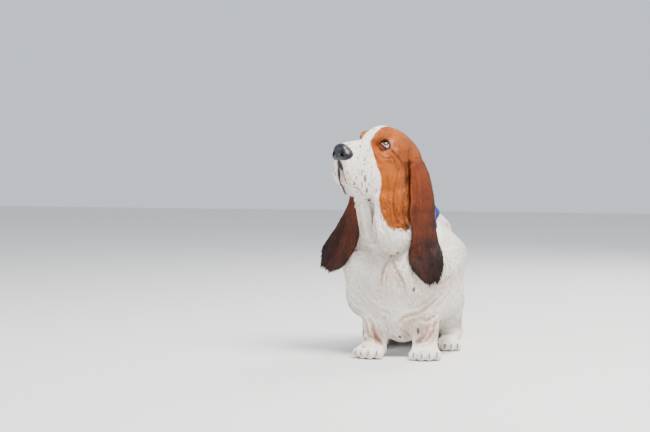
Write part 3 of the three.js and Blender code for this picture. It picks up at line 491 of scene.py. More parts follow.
def flesh(points):
    """Signed distance in mm to the flesh, out to the tips of the coat: negative inside."""
    local = to_head(points)
    local_folded = folded(local, 1)
    body_folded = folded(points, 0)
    made = gather(far_off(points), points, body_folded, BODY)
    made = smooth_union(made, gather(far_off(points), local, local_folded, HEAD), 30)
    made = gather(made, local, local_folded, HEAD_CUTS, carve=True)
    made = gather(made, local, local_folded, MOUTH)
    return gather(made, points, body_folded, BODY_CUTS, carve=True)


FLOOR_GAP = 0.4  # mm from the floor to the skin of the feet and the rump


def skin(points):
    """The flesh, under the coat and hollow behind the nose leather."""
    local = to_head(points)
    pad = gather(far_off(points), local, folded(local, 1), NOSE)
    under_coat = flesh(points) + sizes().coat_depth / MM
    return np.maximum(np.maximum(under_coat, -3.0 - pad), FLOOR_GAP - points[:, 2])


def nose_leather(points):
    local = to_head(points)
    local_folded = folded(local, 1)
    made = gather(far_off(points), local, local_folded, NOSE)
    return gather(made, local, local_folded, NOSTRILS, carve=True)


def in_blocks(field, points, block=90.0):
    """A field at points, read block by block, so that each block skips the forms far from it."""
    code = np.floor(points / block).astype(np.int64) @ np.array([1, 1000, 1000000])
    order = np.argsort(code, kind="stable")
    ends = np.flatnonzero(np.diff(code[order])) + 1
    values = np.empty(len(points))
    for some in np.split(order, ends):
        values[some] = field(points[some])
    return values


def gradient(field, points, step=0.3):
    slopes = []
    for axis in range(3):
        offset = np.zeros(3)
        offset[axis] = step
        slopes.append((in_blocks(field, points + offset) - in_blocks(field, points - offset)) / (2 * step))
    return np.stack(slopes, axis=1)


LEAST_SLOPE = 0.05  # below which a field is too flat for a full step


def drawn_onto(field, points, passes=3, furthest=2.0):
    """Points moved onto the surface of a field."""
    for _ in range(passes):
        slope = gradient(field, points)
        steep = np.einsum("ij,ij->i", slope, slope)
        move = -in_blocks(field, points) / np.maximum(steep, LEAST_SLOPE)
        points = points + slope * np.clip(move, -furthest, furthest)[:, None]
    return points


def spaced(stops):
    """A line of the lattice from (place, spacing up to the next place) pairs."""
    line = [float(stops[0][0])]
    for (low, spacing), (high, _) in zip(stops, stops[1:]):
        count = max(1, round((high - low) / spacing))
        line.extend(low + (high - low) * (n + 1) / count for n in range(count))
    return np.array(line)


def upsampled(values, coarse, fine):
    for axis in range(3):
        places = np.interp(fine[axis], coarse[axis], np.arange(len(coarse[axis])))
        low = np.minimum(places.astype(int), len(coarse[axis]) - 2)
        share = (places - low).astype(np.float32).reshape([-1 if a == axis else 1 for a in range(3)])
        values = np.take(values, low, axis) * (1 - share) + np.take(values, low + 1, axis) * share
    return values


CUT_OFF = 4.0  # mm past which a lattice keeps no true distance


def lattice_surface(field, lines, coarse_step=9.0, band=13.0):
    """The closed surface of a field over a lattice with uneven lines, as points and four-sided faces."""
    coarse = [np.arange(line[0], line[-1] + coarse_step, coarse_step) for line in lines]
    grid = np.stack(np.meshgrid(*coarse, indexing="ij"), axis=-1).reshape(-1, 3)
    rough = in_blocks(field, grid).reshape([len(c) for c in coarse]).astype(np.float32)
    rough = upsampled(rough, coarse, lines)
    near = np.abs(rough) < band
    values = np.where(rough > 0, CUT_OFF, -CUT_OFF).astype(np.float32)
    places = np.stack([line[at] for line, at in zip(lines, np.nonzero(near))], axis=1)
    values[near] = np.clip(in_blocks(field, places), -CUT_OFF, CUT_OFF)
    for axis in range(3):
        edge = [slice(None)] * 3
        for end in (0, -1):
            edge[axis] = end
            values[tuple(edge)] = CUT_OFF
    volume = openvdb.FloatGrid(CUT_OFF)
    volume.copyFromArray(values)
    points, faces = volume.convertToQuads(0.0)
    points = np.stack([np.interp(points[:, a], np.arange(len(lines[a])), lines[a]) for a in range(3)], axis=1)
    return facing_out(points, np.asarray(faces, dtype=np.int64))


def facing_out(points, faces):
    """Turns all the four-sided faces round where the volume that they enclose is negative."""
    a, b, c, d = [points[faces[:, n]] - points.mean(axis=0) for n in range(4)]
    volume = np.einsum("ij,ij->", a, np.cross(b, c)) + np.einsum("ij,ij->", a, np.cross(c, d))
    return (points, faces) if volume > 0 else (points, faces[:, ::-1])


def whole(points, faces):
    """The largest connected part of a mesh."""
    root = np.arange(len(points))
    edges = np.concatenate([faces[:, [a, (a + 1) % faces.shape[1]]] for a in range(faces.shape[1])])
    while True:
        least = np.minimum(root[edges[:, 0]], root[edges[:, 1]])
        before = root.copy()
        np.minimum.at(root, edges[:, 0], least)
        np.minimum.at(root, edges[:, 1], least)
        root = root[root]
        if (before == root).all():
            break
    names, counts = np.unique(root, return_counts=True)
    kept = root == names[counts.argmax()]
    number = np.cumsum(kept) - 1
    return points[kept], number[faces[kept[faces].all(axis=1)]]


def onto_skin(places):
    """Points of the sketch, cast along the camera's line onto the skin."""
    at = (SKETCH_ORIGIN + TOWARDS_VIEW * 600
          + (places[:, :1] - SKETCH_ZERO[0]) * SKETCH_UNIT * VIEW_RIGHT
          + (SKETCH_ZERO[1] - places[:, 1:]) * SKETCH_UNIT * VIEW_UP)
    for _ in range(160):
        at = at - TOWARDS_VIEW * (np.clip(skin(at), 0, 30) * 0.6)[:, None]
    return at


def smooth_line(points):
    """A fine smooth line through the given points, and how far along it each of its own points lies."""
    points = np.asarray(points, float)
    padded = np.concatenate([2 * points[:1] - points[1:2], points, 2 * points[-1:] - points[-2:-1]])
    line = []
    for n in range(len(points) - 1):
        a, b, c, d = padded[n:n + 4]
        for t in np.linspace(0, 1, 24, endpoint=False):
            line.append(0.5 * (2 * b + (c - a) * t + (2 * a - 5 * b + 4 * c - d) * t * t
                               + (3 * b - a - 3 * c + d) * t ** 3))
    line = np.array(line + [points[-1]])
    return line, np.concatenate([[0], np.cumsum(np.linalg.norm(np.diff(line, axis=0), axis=1))])


def at_stops(line, run, stops):
    return np.stack([np.interp(stops, run, line[:, k]) for k in range(line.shape[1])], axis=1)


def spaced_line(points, spacing):
    """Points at even steps along a smooth line through the given ones."""
    line, run = smooth_line(points)
    return at_stops(line, run, np.linspace(0, run[-1], max(3, int(run[-1] / spacing) + 1)))


def shared_line(points, shares):
    """Points at shares of the way along a smooth line through the given ones."""
    line, run = smooth_line(points)
    return at_stops(line, run, shares * run[-1])


FOLD_SPACING = 0.6  # on the sketch, between the points of a fold


@functools.cache
def laid_folds():
    """The folds and creases, laid on the skin once: points, half width, depth, pinkness and darkness, which
    is painted shade in the creases and the dark skin of the lips.
    """
    laid = []
    for points, width, depth, pink, dark, both in FOLDS:
        placed = onto_skin(spaced_line(points, FOLD_SPACING))
        laid.append((placed, width, depth, pink, dark))
        if both:
            far = from_head(to_head(placed) * (1, -1, 1))
            laid.append((drawn_onto(skin, far, passes=4, furthest=6.0), width, depth, pink, dark))
    return laid


def folds_at(points):
    """How far to push points along their normals, how pink the folds make them, and how dark: painted shade
    in the creases, and the dark skin of the lips.
    """
    push, pink, dark = np.zeros((3, len(points)))
    for line, width, depth, pinkness, darkness in laid_folds():
        reach = 5 * width
        low, high = line.min(axis=0) - reach, line.max(axis=0) + reach
        close = np.nonzero(((points > low) & (points < high)).all(axis=1))[0]
        if not len(close):
            continue
        apart = np.linalg.norm(points[close, None] - line[None], axis=2)
        nearest = apart.argmin(axis=1)
        gap = apart[np.arange(len(close)), nearest]
        taper = np.sin(np.pi * (0.08 + 0.84 * nearest / (len(line) - 1))) ** 0.6
        dip = np.exp(-((gap / width) ** 2))
        lip = np.exp(-(((gap - 2.1 * width) / (1.1 * width)) ** 2))
        push[close] += taper * depth * (0.38 * lip - dip)
        pink[close] = np.maximum(pink[close], taper * pinkness * np.exp(-((gap / (1.9 * width)) ** 2)))
        # Painted shade: darkness along each crease, and along the lips their dark bare skin.
        dark[close] = np.maximum(dark[close], taper * darkness * np.exp(-((gap / (0.9 * width)) ** 2)))
    return push, pink, dark


def spot_on(places, centre, reach, depth):
    """How strongly a round spot of the sketch, soft at its edge, marks places on it."""
    return depth * np.exp(-(((places - centre) ** 2).sum(axis=1)) / reach ** 2)


# The patch over the croup: its middle and its reach each way, in mm.
CROUP_MIDDLE = (26, 16, 146)
CROUP_REACH = (104, 96, 84)


def croup_patch(points):
    """How far inside the patch over the croup points lie, with its uneven edge."""
    x, y, z = points.T
    uneven = 0.16 * np.sin(x / 15 + 1.3) + 0.13 * np.sin(y / 12 + z / 21) + 0.08 * np.sin(x / 6 - y / 7)
    return smoothstep(1.0, 0.0, np.linalg.norm((points - CROUP_MIDDLE) / CROUP_REACH, axis=1) + uneven)


def inside_outline(places, outline):
    """Signed distance to a closed outline on the sketch, positive inside."""
    outline = np.asarray(outline, float)
    least = np.full(len(places), np.inf)
    inside = np.zeros(len(places), bool)
    for a, b in zip(outline, np.roll(outline, -1, axis=0)):
        along = b - a
        share = np.clip((places - a) @ along / (along @ along), 0, 1)
        least = np.minimum(least, np.linalg.norm(places - a - share[:, None] * along, axis=1))
        crosses = (a[1] > places[:, 1]) != (b[1] > places[:, 1])
        rise = np.where(abs(along[1]) < 1e-9, 1e-9, along[1])
        inside ^= crosses & (places[:, 0] < a[0] + (places[:, 1] - a[1]) * along[0] / rise)
    return np.where(inside, least, -least)


def markings(points):
    """The coat's marks at points: mask, its shade, pink and dark as a colour, then muzzle and paleness. The
    shade holds painted shade beside the ear and in the creases; the dark holds dark bare skin and painted
    shade in the creases.
    """
    _, fold_pink, fold_shade_and_lip_dark = folds_at(points)
    local = to_head(points)
    mirrored = folded(local, 1)
    places = sketch(from_head(mirrored))
    behind = local[:, 0] < -30

    blaze = 7 + 12 * smoothstep(10, 70, local[:, 0])
    off_blaze = (np.abs(local[:, 1]) - blaze) / 3.5
    head_part = smoothstep(-200, -170, local[:, 2]) * smoothstep(-135, -110, local[:, 0])
    mask = smoothstep(-0.5, 0.5, np.minimum(inside_outline(places, MASK), off_blaze)) * head_part
    mask = np.where(behind, mask * smoothstep(332, 350, points[:, 2]), mask)
    shade = np.full(len(points), 0.06)
    # Darker places in the mask, among them painted shade down the cheek beside the ear.
    for spot in MASK_SHADES:
        shade += spot_on(places, *spot)
    # The folds' darkness adds painted crease shade to the mask.
    shade = np.where(behind, 0.35, shade) + 0.8 * fold_shade_and_lip_dark
    croup = croup_patch(points)
    shade = np.where(croup > mask, 0.3, shade)
    mask = np.maximum(mask, smoothstep(0.25, 0.5, croup) * 0.92)

    pale = np.zeros(len(points))
    for spot in PALE_PLACES:
        pale = np.maximum(pale, spot_on(places, *spot))

    body_places = sketch(points)
    facing = smoothstep(-200, -260, points[:, 1])
    pink = fold_pink
    for centre, reach, depth in PINK_PLACES:
        pink = pink + spot_on(body_places, centre, reach, facing * depth)

    eye = np.linalg.norm(mirrored - (EYE_AT + EYE_OUT * 10), axis=1)
    lip_front = np.linalg.norm((local - (150, 0, -62)) / (16, 13, 30), axis=1)
    # In the white, the folds' darkness is painted shade in the creases, and along the lips their dark bare
    # skin.
    dark = np.maximum(fold_shade_and_lip_dark * (1 - mask), 0.85 * smoothstep(1.25, 0.7, lip_front))
    dark = np.maximum(dark, 0.8 * smoothstep(16, 11, eye))
    for spot in DARK_PLACES:
        dark = np.maximum(dark, spot_on(places, *spot))

    muzzle = smoothstep(60, 90, local[:, 0]) * smoothstep(-110, -96, local[:, 2])
    marks = np.stack([np.clip(values, 0, 1) for values in (mask, shade, pink, dark)], axis=1)
    return dict(marks=marks, muzzle=muzzle, pale=pale * mask)


def make_piece(name, points, faces, finish, **attributes):
    """A mesh object from points in mm, with a number or a colour at each point for every attribute."""
    mesh = bpy.data.meshes.new(name)
    mesh.from_pydata((points * MM).tolist(), [], faces if isinstance(faces, list) else faces.tolist())
    mesh.shade_smooth()
    for key, values in attributes.items():
        values = np.asarray(values, np.float32)
        if values.ndim == 1:
            mesh.attributes.new(key, "FLOAT", "POINT").data.foreach_set("value", values)
        else:
            mesh.attributes.new(key, "FLOAT_COLOR", "POINT").data.foreach_set("color", values.ravel())
    mesh.update()
    obj = bpy.data.objects.new(name, mesh)
    bpy.context.scene.collection.objects.link(obj)
    mesh.materials.append(bpy.data.materials[finish])
    return obj


def belongs(obj, slot, *nodes):
    """Ties a finished piece to the root body and hides the nodes it stands for; the slot is not used."""
    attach(obj, "root")
    if nodes:
        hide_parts(*nodes)


def clear_selection():
    bpy.ops.object.select_all(action="DESELECT")


def joined(objects, name):
    """One object from several, with its place in its mesh."""
    clear_selection()
    for obj in objects:
        obj.select_set(True)
    bpy.context.view_layer.objects.active = objects[0]
    bpy.ops.object.join()
    obj = bpy.context.view_layer.objects.active
    bpy.ops.object.transform_apply(location=True, rotation=True, scale=True)
    obj.name = name
    obj.data.shade_smooth()
    clear_selection()
    return obj


def edit_all(obj, tool, **settings):
    """Uses an edit mode tool on the whole of a mesh."""
    clear_selection()
    obj.select_set(True)
    bpy.context.view_layer.objects.active = obj
    bpy.ops.object.mode_set(mode="EDIT")
    bpy.ops.mesh.select_all(action="SELECT")
    tool(**settings)
    bpy.ops.object.mode_set(mode="OBJECT")


# Shader building.

def new_node(tree, kind, settings=None, **sockets):
    node = tree.nodes.new(kind)
    for key, value in (settings or {}).items():
        setattr(node, key, value)
    for key, value in sockets.items():
        socket = node.inputs[int(key[1:])] if key[0] == "i" and key[1:].isdigit() else node.inputs[key]
        if isinstance(value, bpy.types.NodeSocket):
            tree.links.new(value, socket)
        else:
            socket.default_value = value
    return node


def blend_colours(tree, share, a, b, how="MIX"):
    node = new_node(tree, "ShaderNodeMix", {"data_type": "RGBA", "blend_type": how}, i0=share, i6=a, i7=b)
    return node.outputs[2]


def arithmetic(tree, how, a, b=0.5, c=0.0, clamp=False):
    node = new_node(tree, "ShaderNodeMath", {"operation": how, "use_clamp": clamp}, i0=a, i1=b, i2=c)
    return node.outputs[0]


def vector_maths(tree, how, **sockets):
    return new_node(tree, "ShaderNodeVectorMath", {"operation": how}, **sockets).outputs


def stretched(tree, value, low, high):
    """A value brought to 0 at its low and 1 at its high, smoothly."""
    node = new_node(tree, "ShaderNodeMapRange", {"interpolation_type": "SMOOTHSTEP"},
                    i0=value, i1=low, i2=high)
    return node.outputs[0]


def grouped(tree, name, sockets):
    group = bpy.data.node_groups[name]
    return new_node(tree, "ShaderNodeGroup", {"node_tree": group}, **sockets).outputs[0]


def noise(tree, place, scale, detail=2.0, rough=0.5):
    return new_node(tree, "ShaderNodeTexNoise", None, Vector=place, Scale=scale, Detail=detail,
                    Roughness=rough).outputs[0]


def new_group(name, inputs, outputs):
    tree = bpy.data.node_groups.new(name, "ShaderNodeTree")
    for socket_name, kind, default in inputs:
        socket = tree.interface.new_socket(socket_name, in_out="INPUT", socket_type="NodeSocket" + kind)
        if default is not None:
            socket.default_value = default
    for socket_name, kind in outputs:
        tree.interface.new_socket(socket_name, in_out="OUTPUT", socket_type="NodeSocket" + kind)
    return tree, tree.nodes.new("NodeGroupInput").outputs, tree.nodes.new("NodeGroupOutput").inputs


def specks_group():
    """Small scattered specks, longer than wide."""
    tree, given, out = new_group(
        "Specks", [("Place", "Vector", None), ("Spacing", "Float", 30.0), ("Size", "Float", 0.1),
                   ("Share", "Float", 0.4)], [("Mask", "Float")])
    warp = new_node(tree, "ShaderNodeTexNoise", None, Vector=given["Place"], Scale=220.0, Detail=1.0)
    shift = vector_maths(tree, "MULTIPLY_ADD", i0=warp.outputs["Color"], i1=(0.004, 0.004, 0.004),
                         i2=given["Place"])[0]
    lengthened = new_node(tree, "ShaderNodeMapping", None, Vector=shift, Scale=(1.0, 0.8, 0.42)).outputs[0]
    cells = new_node(tree, "ShaderNodeTexVoronoi", None, Vector=lengthened, Scale=given["Spacing"])
    chosen = new_node(tree, "ShaderNodeSeparateColor", None, Color=cells.outputs["Color"])
    size = arithmetic(tree, "MULTIPLY", given["Size"], arithmetic(tree, "ADD", chosen.outputs[1], 0.5))
    dot = arithmetic(tree, "SUBTRACT", size, cells.outputs["Distance"])
    dot = stretched(tree, dot, -0.02, 0.05)
    kept = stretched(tree, arithmetic(tree, "SUBTRACT", given["Share"], chosen.outputs[0]), -0.01, 0.01)
    tree.links.new(arithmetic(tree, "MULTIPLY", dot, kept), out["Mask"])


def coat_group():
    """The coat's colour from its marks, with broken edges, strands and specks."""
    shares = [(name, "Float", 0.0) for name in ("Dark share", "Muzzle", "Pale", "Strand")]
    tints = [(name, "Color", (1, 1, 1, 1)) for name in (
        "White", "Golden", "Red-brown", "Pink", "Pale colour", "Dark", "Ticks", "Muzzle ticks")]
    tree, given, out = new_group(
        "Coat colour", [("Place", "Vector", None), ("Marks", "Color", (0, 0, 0, 1)), *shares, *tints],
        [("Color", "Color")])
    place = given["Place"]
    marks = new_node(tree, "ShaderNodeSeparateColor", None, Color=given["Marks"])
    breakup = noise(tree, place, 260.0, 3.0)
    mask = arithmetic(tree, "ADD", marks.outputs[0], arithmetic(tree, "MULTIPLY_ADD", breakup, 0.7, -0.35))
    mask = stretched(tree, mask, 0.38, 0.62)
    broad = noise(tree, place, 55.0, 3.0)
    # The shade share holds the mask's darker red-brown, and painted shade in the creases and beside the ear.
    shade = arithmetic(tree, "ADD", marks.outputs[1], arithmetic(tree, "MULTIPLY_ADD", broad, 0.5, -0.25))
    strand_shade = arithmetic(tree, "MULTIPLY_ADD", given["Strand"], 0.3, -0.15)
    shade = arithmetic(tree, "ADD", shade, strand_shade, clamp=True)
    coloured = blend_colours(tree, shade, given["Golden"], given["Red-brown"])
    coloured = blend_colours(tree, given["Pale"], coloured, given["Pale colour"])
    pink = arithmetic(tree, "MULTIPLY", marks.outputs[2], arithmetic(tree, "ADD", broad, 0.55), clamp=True)
    white = blend_colours(tree, pink, given["White"], given["Pink"])
    ticks = grouped(tree, "Specks", dict(Place=place, Spacing=44.0, Size=0.14, Share=0.45))
    white = blend_colours(tree, arithmetic(tree, "MULTIPLY", ticks, 0.85), white, given["Ticks"])
    fine = grouped(tree, "Specks", dict(Place=place, Spacing=210.0, Size=0.34, Share=0.95))
    patchy = stretched(tree, noise(tree, place, 45.0, 2.0), 0.28, 0.52)
    fine = arithmetic(tree, "MULTIPLY", arithmetic(tree, "MULTIPLY", fine, given["Muzzle"]), patchy)
    white = blend_colours(tree, arithmetic(tree, "MULTIPLY", fine, 0.9), white, given["Muzzle ticks"])
    made = blend_colours(tree, mask, white, coloured)
    strand = arithmetic(tree, "MULTIPLY_ADD", given["Strand"], 0.12, 0.94)
    grey = new_node(tree, "ShaderNodeCombineColor", None, i0=strand, i1=strand, i2=strand)
    made = blend_colours(tree, 1.0, made, grey.outputs[0], how="MULTIPLY")
    # The dark share holds dark bare skin, and painted shade in the creases of the folds.
    dark = arithmetic(tree, "ADD", given["Dark share"], arithmetic(tree, "MULTIPLY_ADD", breakup, 0.4, -0.2))
    dark = arithmetic(tree, "MULTIPLY", stretched(tree, dark, 0.15, 0.8), 0.96)
    tree.links.new(blend_colours(tree, dark, made, given["Dark"]), out["Color"])


def grain_group():
    """Fine uneven height, from coarse to fine."""
    tree, given, out = new_group(
        "Grain", [("Place", "Vector", None), ("Scale", "Float", 600.0), ("Coarse", "Float", 0.4)],
        [("Height", "Float")])
    fine = noise(tree, given["Place"], given["Scale"], 3.0, 0.6)
    coarse = noise(tree, given["Place"], arithmetic(tree, "MULTIPLY", given["Scale"], 0.14), 3.0, 0.55)
    tree.links.new(arithmetic(tree, "MULTIPLY_ADD", coarse, given["Coarse"], fine), out["Height"])


def new_material(name, **sockets):
    material = bpy.data.materials.new(name)
    material.use_nodes = True
    shader = material.node_tree.nodes["Principled BSDF"]
    for key, value in sockets.items():
        shader.inputs[key.replace("_", " ")].default_value = value
    return material, material.node_tree, shader


def rgba(three):
    return (*three, 1.0)


def object_place(tree):
    return new_node(tree, "ShaderNodeTexCoord").outputs["Object"]


def attribute(tree, name, output="Fac"):
    return new_node(tree, "ShaderNodeAttribute", {"attribute_name": name}).outputs[output]


def bump(tree, shader, height, strength, distance):
    node = new_node(tree, "ShaderNodeBump", None, Height=height, Strength=strength, Distance=distance)
    tree.links.new(node.outputs[0], shader.inputs["Normal"])


def coat_material():
    c = colours()
    _, tree, shader = new_material(
        "short coat", Roughness=0.7, Sheen_Weight=0.05, Sheen_Roughness=0.4, Specular_IOR_Level=0.16)
    place = object_place(tree)
    marks = new_node(tree, "ShaderNodeAttribute", {"attribute_name": "marks"}).outputs
    made = grouped(tree, "Coat colour", {
        "Place": place, "Marks": marks["Color"], "Dark share": marks["Alpha"],
        "Muzzle": attribute(tree, "muzzle"), "Pale": attribute(tree, "pale"),
        "Strand": attribute(tree, "strand"), "White": rgba(c.white),
        "Golden": rgba(c.golden), "Red-brown": rgba(c.red_brown), "Pink": rgba(c.pink),
        "Pale colour": rgba(c.pale), "Dark": rgba(c.dark), "Ticks": rgba(c.ticks),
        "Muzzle ticks": rgba(c.muzzle_ticks)})
    tree.links.new(made, shader.inputs["Base Color"])
    bump(tree, shader, grouped(tree, "Grain", dict(Place=place, Scale=900.0, Coarse=0.6)), 0.35, 0.0008)


def ear_material():
    c = colours()
    _, tree, shader = new_material(
        "ear coat", Roughness=0.55, Sheen_Weight=0.03, Sheen_Roughness=0.4, Specular_IOR_Level=0.24)
    place = object_place(tree)
    broad = noise(tree, place, 40.0, 4.0)
    broad = arithmetic(tree, "MULTIPLY_ADD", broad, 0.5, -0.25)
    strand = arithmetic(tree, "MULTIPLY_ADD", attribute(tree, "strand"), 0.26, -0.13)
    share = arithmetic(tree, "ADD", arithmetic(tree, "ADD", attribute(tree, "down"), broad), strand)
    made = blend_colours(tree, stretched(tree, share, 0.12, 0.88), rgba(c.ear_top), rgba(c.ear_tip))
    # Painted highlight: the front edge lightened to golden where it catches the light.
    made = blend_colours(tree, attribute(tree, "rim"), made, rgba(c.golden))
    tree.links.new(made, shader.inputs["Base Color"])
    bump(tree, shader, grouped(tree, "Grain", dict(Place=place, Scale=800.0, Coarse=0.8)), 0.4, 0.0008)


def nose_material():
    _, tree, shader = new_material(
        "nose leather", Base_Color=rgba(colours().nose), Roughness=0.42, Coat_Weight=0.3, Coat_Roughness=0.25,
        Specular_IOR_Level=0.3)
    cells = new_node(tree, "ShaderNodeTexVoronoi", {"feature": "SMOOTH_F1"}, Vector=object_place(tree),
                     Scale=620.0)
    bump(tree, shader, cells.outputs["Distance"], 0.55, 0.0006)


# Angles from the middle of the pupil, in radians, over which each part of the eye gives way to the next.
PUPIL_EDGE = (0.25, 0.29)
IRIS_RIM = (0.52, 0.64)
IRIS_EDGE = (0.70, 0.76)


def eye_material(name, centre, out):
    """A dark brown iris round the way the eye looks, in a moist white."""
    c = colours()
    material, tree, shader = new_material(
        name, Roughness=0.06, Coat_Weight=1.0, Coat_Roughness=0.02, Specular_IOR_Level=0.6)
    place = object_place(tree)
    from_centre = vector_maths(tree, "SUBTRACT", i0=place, i1=tuple(centre))[0]
    direction = vector_maths(tree, "NORMALIZE", i0=from_centre)[0]
    turn = vector_maths(tree, "DOT_PRODUCT", i0=direction, i1=tuple(out))["Value"]
    angle = arithmetic(tree, "ARCCOSINE", turn)
    rays = stretched(tree, noise(tree, direction, 9.0, 4.0), 0.3, 0.7)
    iris = blend_colours(tree, rays, rgba(c.iris), rgba([v * 2.6 for v in c.iris]))
    iris = blend_colours(tree, stretched(tree, angle, *IRIS_RIM), iris, rgba(c.iris_rim))
    iris = blend_colours(tree, stretched(tree, angle, *PUPIL_EDGE), rgba(c.pupil), iris)
    veins = stretched(tree, noise(tree, place, 300.0, 3.0), 0.35, 0.75)
    white = blend_colours(tree, veins, rgba(c.eye_white), rgba(c.haw))
    made = blend_colours(tree, stretched(tree, angle, *IRIS_EDGE), iris, white)
    tree.links.new(made, shader.inputs["Base Color"])
    return material


def webbing_material():
    _, tree, shader = new_material("collar webbing", Roughness=0.8, Specular_IOR_Level=0.2)
    c = colours().webbing
    lay = new_node(tree, "ShaderNodeTexChecker", None, Vector=attribute(tree, "weave", "Color"), Scale=1.0,
                   Color1=rgba([v * 0.75 for v in c]), Color2=rgba([min(v * 1.2, 1) for v in c])).outputs
    tree.links.new(lay["Color"], shader.inputs["Base Color"])
    bump(tree, shader, lay["Fac"], 0.5, 0.0005)


class HOUND_OT_finishes(bpy.types.Operator):
    """Builds the shader groups and materials that the pieces share"""

    bl_idname = "hound.finishes"
    bl_label = "Finishes"

    def execute(self, context):
        c = colours()
        for build in (specks_group, coat_group, grain_group, coat_material, ear_material, nose_material,
                      webbing_material):
            build()
        new_material("collar strip", Base_Color=rgba(c.lining), Roughness=0.6)
        new_material("collar metal", Base_Color=rgba(c.metal), Metallic=1.0, Roughness=0.22)
        new_material("claw horn", Base_Color=rgba(c.claw), Roughness=0.4, Coat_Weight=0.2)
        new_material("whisker", Base_Color=rgba(c.whisker), Roughness=0.4)
        new_material("studio floor", Base_Color=rgba(c.floor), Roughness=0.9)
        return {"FINISHED"}


# The skin's lattice, finest over the head: along each axis, a place in mm and the spacing from there on.
SKIN_LATTICE = [
    [(-172, 4.2), (-152, 2.9), (66, 3.9), (172, 0)],
    [(-482, 2.5), (-250, 4.9), (330, 0)],
    [(-6, 4.7), (250, 2.45), (588, 0)],
]

MOST_TRIANGLES = 200000
SKIN_STRAND = 0.4


class HOUND_OT_skin(bpy.types.Operator):
    """The one skin over head, neck, body, legs, feet and tail, with its folds"""

    bl_idname = "hound.skin"
    bl_label = "Skin"

    def execute(self, context):
        points, faces = whole(*lattice_surface(skin, [spaced(stops) for stops in SKIN_LATTICE]))
        if 2 * len(faces) >= MOST_TRIANGLES:
            raise RuntimeError("the skin has %d triangles" % (2 * len(faces)))
        points = drawn_onto(skin, points)
        points = points + unit(gradient(skin, points, 0.8)) * folds_at(points)[0][:, None]
        points[:, 2] = np.maximum(points[:, 2], FLOOR_GAP)
        obj = make_piece("skin", points, faces, "short coat", **markings(points),
                         strand=np.full(len(points), SKIN_STRAND))
        belongs(obj, "coat", *FLESH_NODES)
        return {"FINISHED"}


# The nose's lattice: its middle on the head's axes and its reach each way. The inset draws its surface in.
NOSE_MIDDLE = np.array([140.0, 0.0, -16.0])
NOSE_REACH = 40
NOSE_INSET = 0.6


class HOUND_OT_nose(bpy.types.Operator):
    """The nose leather with its nostrils"""

    bl_idname = "hound.nose"
    bl_label = "Nose"

    def execute(self, context):
        middle = from_head(NOSE_MIDDLE[None])[0]
        lines = [place + np.arange(-NOSE_REACH, NOSE_REACH + 1) for place in middle]
        points, faces = whole(*lattice_surface(nose_leather, lines, coarse_step=4.0, band=7.0))
        points = drawn_onto(nose_leather, points, furthest=0.6)
        points = points - unit(gradient(nose_leather, points)) * NOSE_INSET
        obj = make_piece("nose", points, faces, "nose leather")
        belongs(obj, "nose", "nose")
        return {"FINISHED"}


def eye_frame(side):
    """An eye's centre and its own axes on the head: across the opening, up it, and out."""
    mirror = np.array([1.0, side, 1.0])
    centre, out = EYE_AT * mirror, EYE_OUT * mirror
    right = np.array([VIEW_RIGHT @ FORWARD, VIEW_RIGHT @ LEFT, VIEW_RIGHT @ UP]) * mirror
    across = unit(right - out * (right @ out))
    up = np.cross(out, across) * side
    return centre, across, up, out


# The way the eyes look, across the opening, up it and out, and how far the cornea bulges.
LOOK = (0.10, 0.56, 0.82)
CORNEA_BULGE = 0.07


class HOUND_OT_eyes(bpy.types.Operator):
    """Both eyeballs, with a bulging cornea"""

    bl_idname = "hound.eyes"
    bl_label = "Eyes"

    def execute(self, context):
        radius = sizes().eye_radius
        for side, word in SIDES:
            centre, across, up, out = eye_frame(side)
            look = unit(across * LOOK[0] + up * LOOK[1] + out * LOOK[2]) @ HEAD_AXES
            place = from_head(centre[None])[0] * MM
            clear_selection()
            bpy.ops.mesh.primitive_uv_sphere_add(segments=64, ring_count=40, radius=radius)
            ball = bpy.context.object
            for vertex in ball.data.vertices:
                share = np.array(vertex.co.z / radius)
                vertex.co *= 1 + CORNEA_BULGE * float(smoothstep(0.78, 0.98, share))
            turn = Vector((0, 0, 1)).rotation_difference(Vector(look)).to_matrix().to_4x4()
            ball.data.transform(Matrix.Translation(Vector(place)) @ turn)
            ball.data.shade_smooth()
            ball.data.materials.append(eye_material("eye " + word, place, look))
            ball.name = "eye_" + word + "_ball"
            belongs(ball, "eye", "eye_" + word)
        clear_selection()
        return {"FINISHED"}


def stacked(layers):
    """One set of points from closed rings of them, with the faces between each ring and the next."""
    at = np.arange(len(layers) * len(layers[0])).reshape(len(layers), -1)
    onward = np.roll(at, -1, axis=1)
    faces = np.stack([at[:-1], onward[:-1], onward[1:], at[1:]], axis=-1).reshape(-1, 4)
    closing = np.stack([at[-1], onward[-1], onward[0], at[0]], axis=-1)
    return np.concatenate(layers), np.concatenate([faces, closing])


def height_over(field, centre, across, up, out, x, y, reach=26.0):
    """How far out along an axis the skin lies, over places on the plane across it."""
    base = centre + x[:, None] * across + y[:, None] * up
    height = np.full(len(x), reach)
    for _ in range(40):
        gap = field(from_head(base + height[:, None] * out))
        height = height - np.clip(gap, 0, 4) * 0.7
    return height


# The opening between the lids, to the right of the eye's middle and above it, and the reach of their skin.
OPENING = [(-11.4, 4.6), (-7, 7.8), (-0.5, 10.9), (5, 9.8), (8.9, 4.8), (10.7, -2), (10.9, -7.4),
           (6.4, -8.9), (0.5, -5.4), (-5.6, -0.2)]
LID_REACH = 24.0
LID_RINGS = 30
LID_STATIONS = 120


